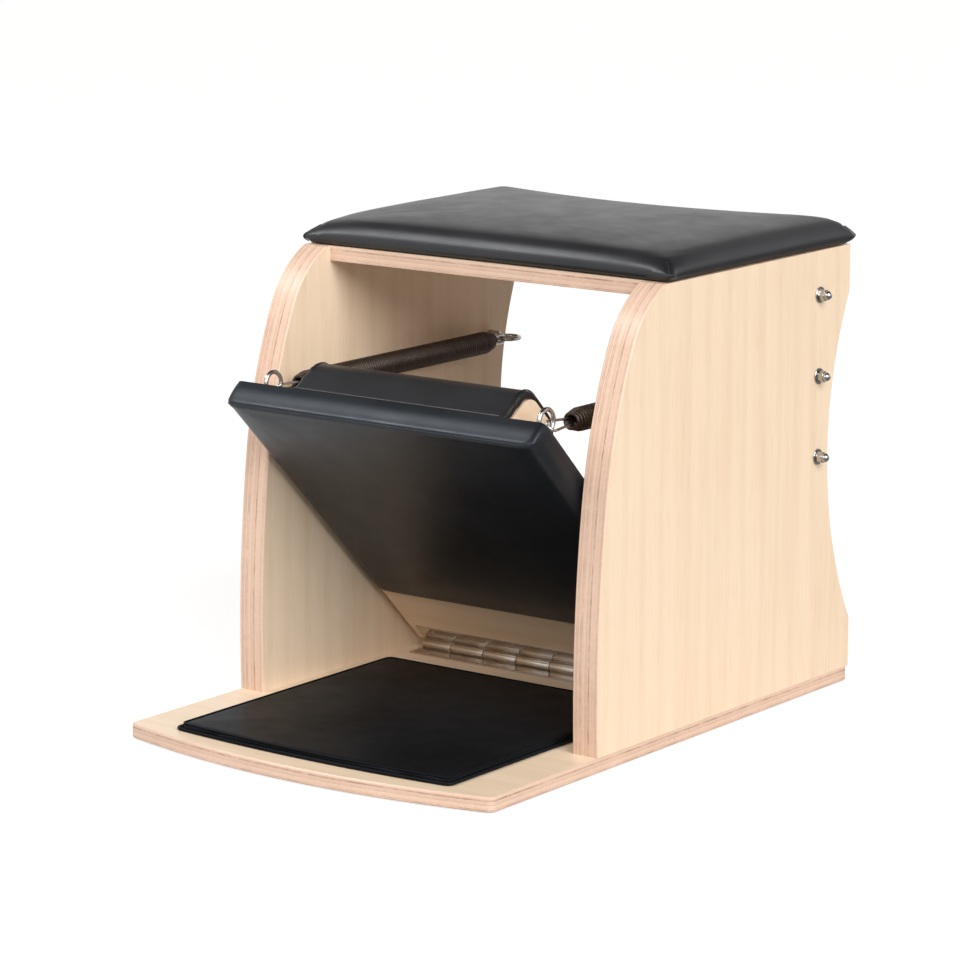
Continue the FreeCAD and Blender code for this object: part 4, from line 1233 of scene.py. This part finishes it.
class CHAIR_OT_eye_bolts(bpy.types.Operator):
    """Eye bolts in the panels and the pedal"""
    bl_idname = "chair.eye_bolts"
    bl_label = "Eye bolts"

    def execute(self, context):
        for side, sign in SIDES:
            for node, depth, height in eye_places(side):
                centre = Vector((sign * SPRING_REAR.x, depth, height))
                mesh = self.bolt(node, centre, X_AXIS * sign, Y_AXIS, collar=0.0062, shank=0.0642)
                placed(node + "_turned", mesh, "Nickel", "frame", "nickel_steel", node)
            node = side + "_pedal_eye_bolt"
            mesh = self.bolt(node, pedal_eye(sign), -PEDAL_NORMAL, PEDAL_UP, collar=0.0048, shank=0.0298)
            placed(node + "_turned", mesh, "Nickel", "pedal", "nickel_steel", node)
        return {"FINISHED"}

    def bolt(self, name, centre, way, across, collar, shank):
        """Ring with a collar and a threaded shank. way points along the shank."""
        sizes = bpy.context.scene.chair_sizes
        outer = sizes.ring_radius + sizes.ring_wire / 2
        root = centre + way * (outer - sizes.ring_wire * 0.6)
        sunk = sizes.ring_wire * 0.6

        def build(shape):
            torus(shape, centre, way, across, sizes.ring_radius, sizes.ring_wire)
            turned(shape, root, way, [
                (0, 0.0040), (sunk * 0.5, 0.0050), (sunk * 0.9, 0.0064), (sunk + 0.0006, 0.0070),
                (sunk + collar - 0.0006, 0.0070), (sunk + collar, 0.0064)])
            ridges = threaded(shank - collar, 0.0040, sizes.thread_pitch, 0.0006)
            turned(shape, root + way * (sunk + collar - 0.0002), way, ridges, 28)

        return drawn(name, build)


class CHAIR_OT_nuts(bpy.types.Operator):
    """Acorn nuts, inner nuts and washers on the panels"""
    bl_idname = "chair.nuts"
    bl_label = "Nuts and washers"

    def execute(self, context):
        for side, sign in SIDES:
            out = X_AXIS * sign
            rows = [Vector((0, depth, height)) for node, depth, height in eye_places(side)]
            pieces = (
                ("_outer_washers", self.washer, PANEL_HIGH.x, out),
                ("_acorn_nuts", self.acorn, PANEL_HIGH.x + 0.002, out),
                ("_inner_nuts", self.hex_nut, PANEL_LOW.x, -out),
            )
            for kind, build, from_middle, facing in pieces:
                name = side + kind
                places = [row + out * from_middle for row in rows]
                mesh = repeated(name, drawn(name, build), places, facing, "Nickel", math.pi / 3)
                placed(name + "_turned", mesh, "Nickel", "frame", "nickel_steel", name)
        return {"FINISHED"}

    def washer(self, shape):
        """Flat washer with broken edges and a bore."""
        profile = (
            (0.0, 0.0096), (0.0004, 0.01), (0.0016, 0.01), (0.002, 0.0096), (0.002, 0.0046), (0.0, 0.0046),
        )
        loft(shape, circles(profile, 48), looped=True)

    def acorn(self, shape):
        """Domed nut: a chamfered hexagon, a turned neck and a dome."""
        self.hex_nut(shape)
        neck = 0.0088
        tall = 0.0062
        end = math.radians(80)
        dome = [(0.0075, 0.0058), (0.0083, 0.0061), (neck, 0.0060)]
        for number in range(9):
            turn = end * number / 8
            dome.append((neck + tall * math.sin(turn) / math.sin(end), 0.0059 * math.cos(turn)))
        turned(shape, Vector((0, 0, 0)), Z_AXIS, dome, 40)

    def hex_nut(self, shape):
        """Hexagon whose ends are turned down by a chamfer."""
        heights = (0.0, 0.0004, 0.001, 0.004, 0.007, 0.0076, 0.008)
        flat = 0.0065
        chamfer = 0.0009
        rings = []
        for height in heights:
            from_end = min(height, heights[-1] - height)
            limit = flat + chamfer * min(1.0, from_end / (chamfer * 0.7))
            ring = []
            for number in range(60):
                turn = 2 * math.pi * number / 60
                swing = (turn + math.pi / 6) % (math.pi / 3) - math.pi / 6
                radius = min(flat / math.cos(swing), limit)
                ring.append(Vector((radius * math.cos(turn), radius * math.sin(turn), height)))
            rings.append(ring)
        loft(shape, rings)


class CHAIR_PT_panel(bpy.types.Panel):
    """Lists the steps that dress the chair"""
    bl_idname = "CHAIR_PT_panel"
    bl_label = "Pilates chair"
    bl_space_type = "VIEW_3D"
    bl_region_type = "UI"
    bl_category = "Chair"

    def draw(self, context):
        for step in STEPS:
            self.layout.operator(step.bl_idname)
        for group in (context.scene.chair_sizes, context.scene.chair_colours):
            for name in group.__annotations__:
                self.layout.prop(group, name)


STEPS = (
    CHAIR_OT_stage, CHAIR_OT_boards, CHAIR_OT_seat_cushion, CHAIR_OT_base_mat, CHAIR_OT_pedal_pad,
    CHAIR_OT_foot_bar, CHAIR_OT_hinge, CHAIR_OT_springs, CHAIR_OT_eye_bolts, CHAIR_OT_nuts,
)
CLASSES = (ChairSizes, ChairColours, *STEPS, CHAIR_PT_panel)


def register():
    for one in CLASSES:
        bpy.utils.register_class(one)
    bpy.types.Scene.chair_sizes = PointerProperty(type=ChairSizes)
    bpy.types.Scene.chair_colours = PointerProperty(type=ChairColours)


def unregister():
    del bpy.types.Scene.chair_colours
    del bpy.types.Scene.chair_sizes
    for one in reversed(CLASSES):
        bpy.utils.unregister_class(one)


def main():
    register()
    bpy.ops.chair.stage()
    bpy.ops.chair.boards()
    bpy.ops.chair.seat_cushion()
    bpy.ops.chair.base_mat()
    bpy.ops.chair.pedal_pad()
    bpy.ops.chair.foot_bar()
    bpy.ops.chair.hinge()
    bpy.ops.chair.springs()
    bpy.ops.chair.eye_bolts()
    bpy.ops.chair.nuts()


if __name__ == "__main__":
    main()
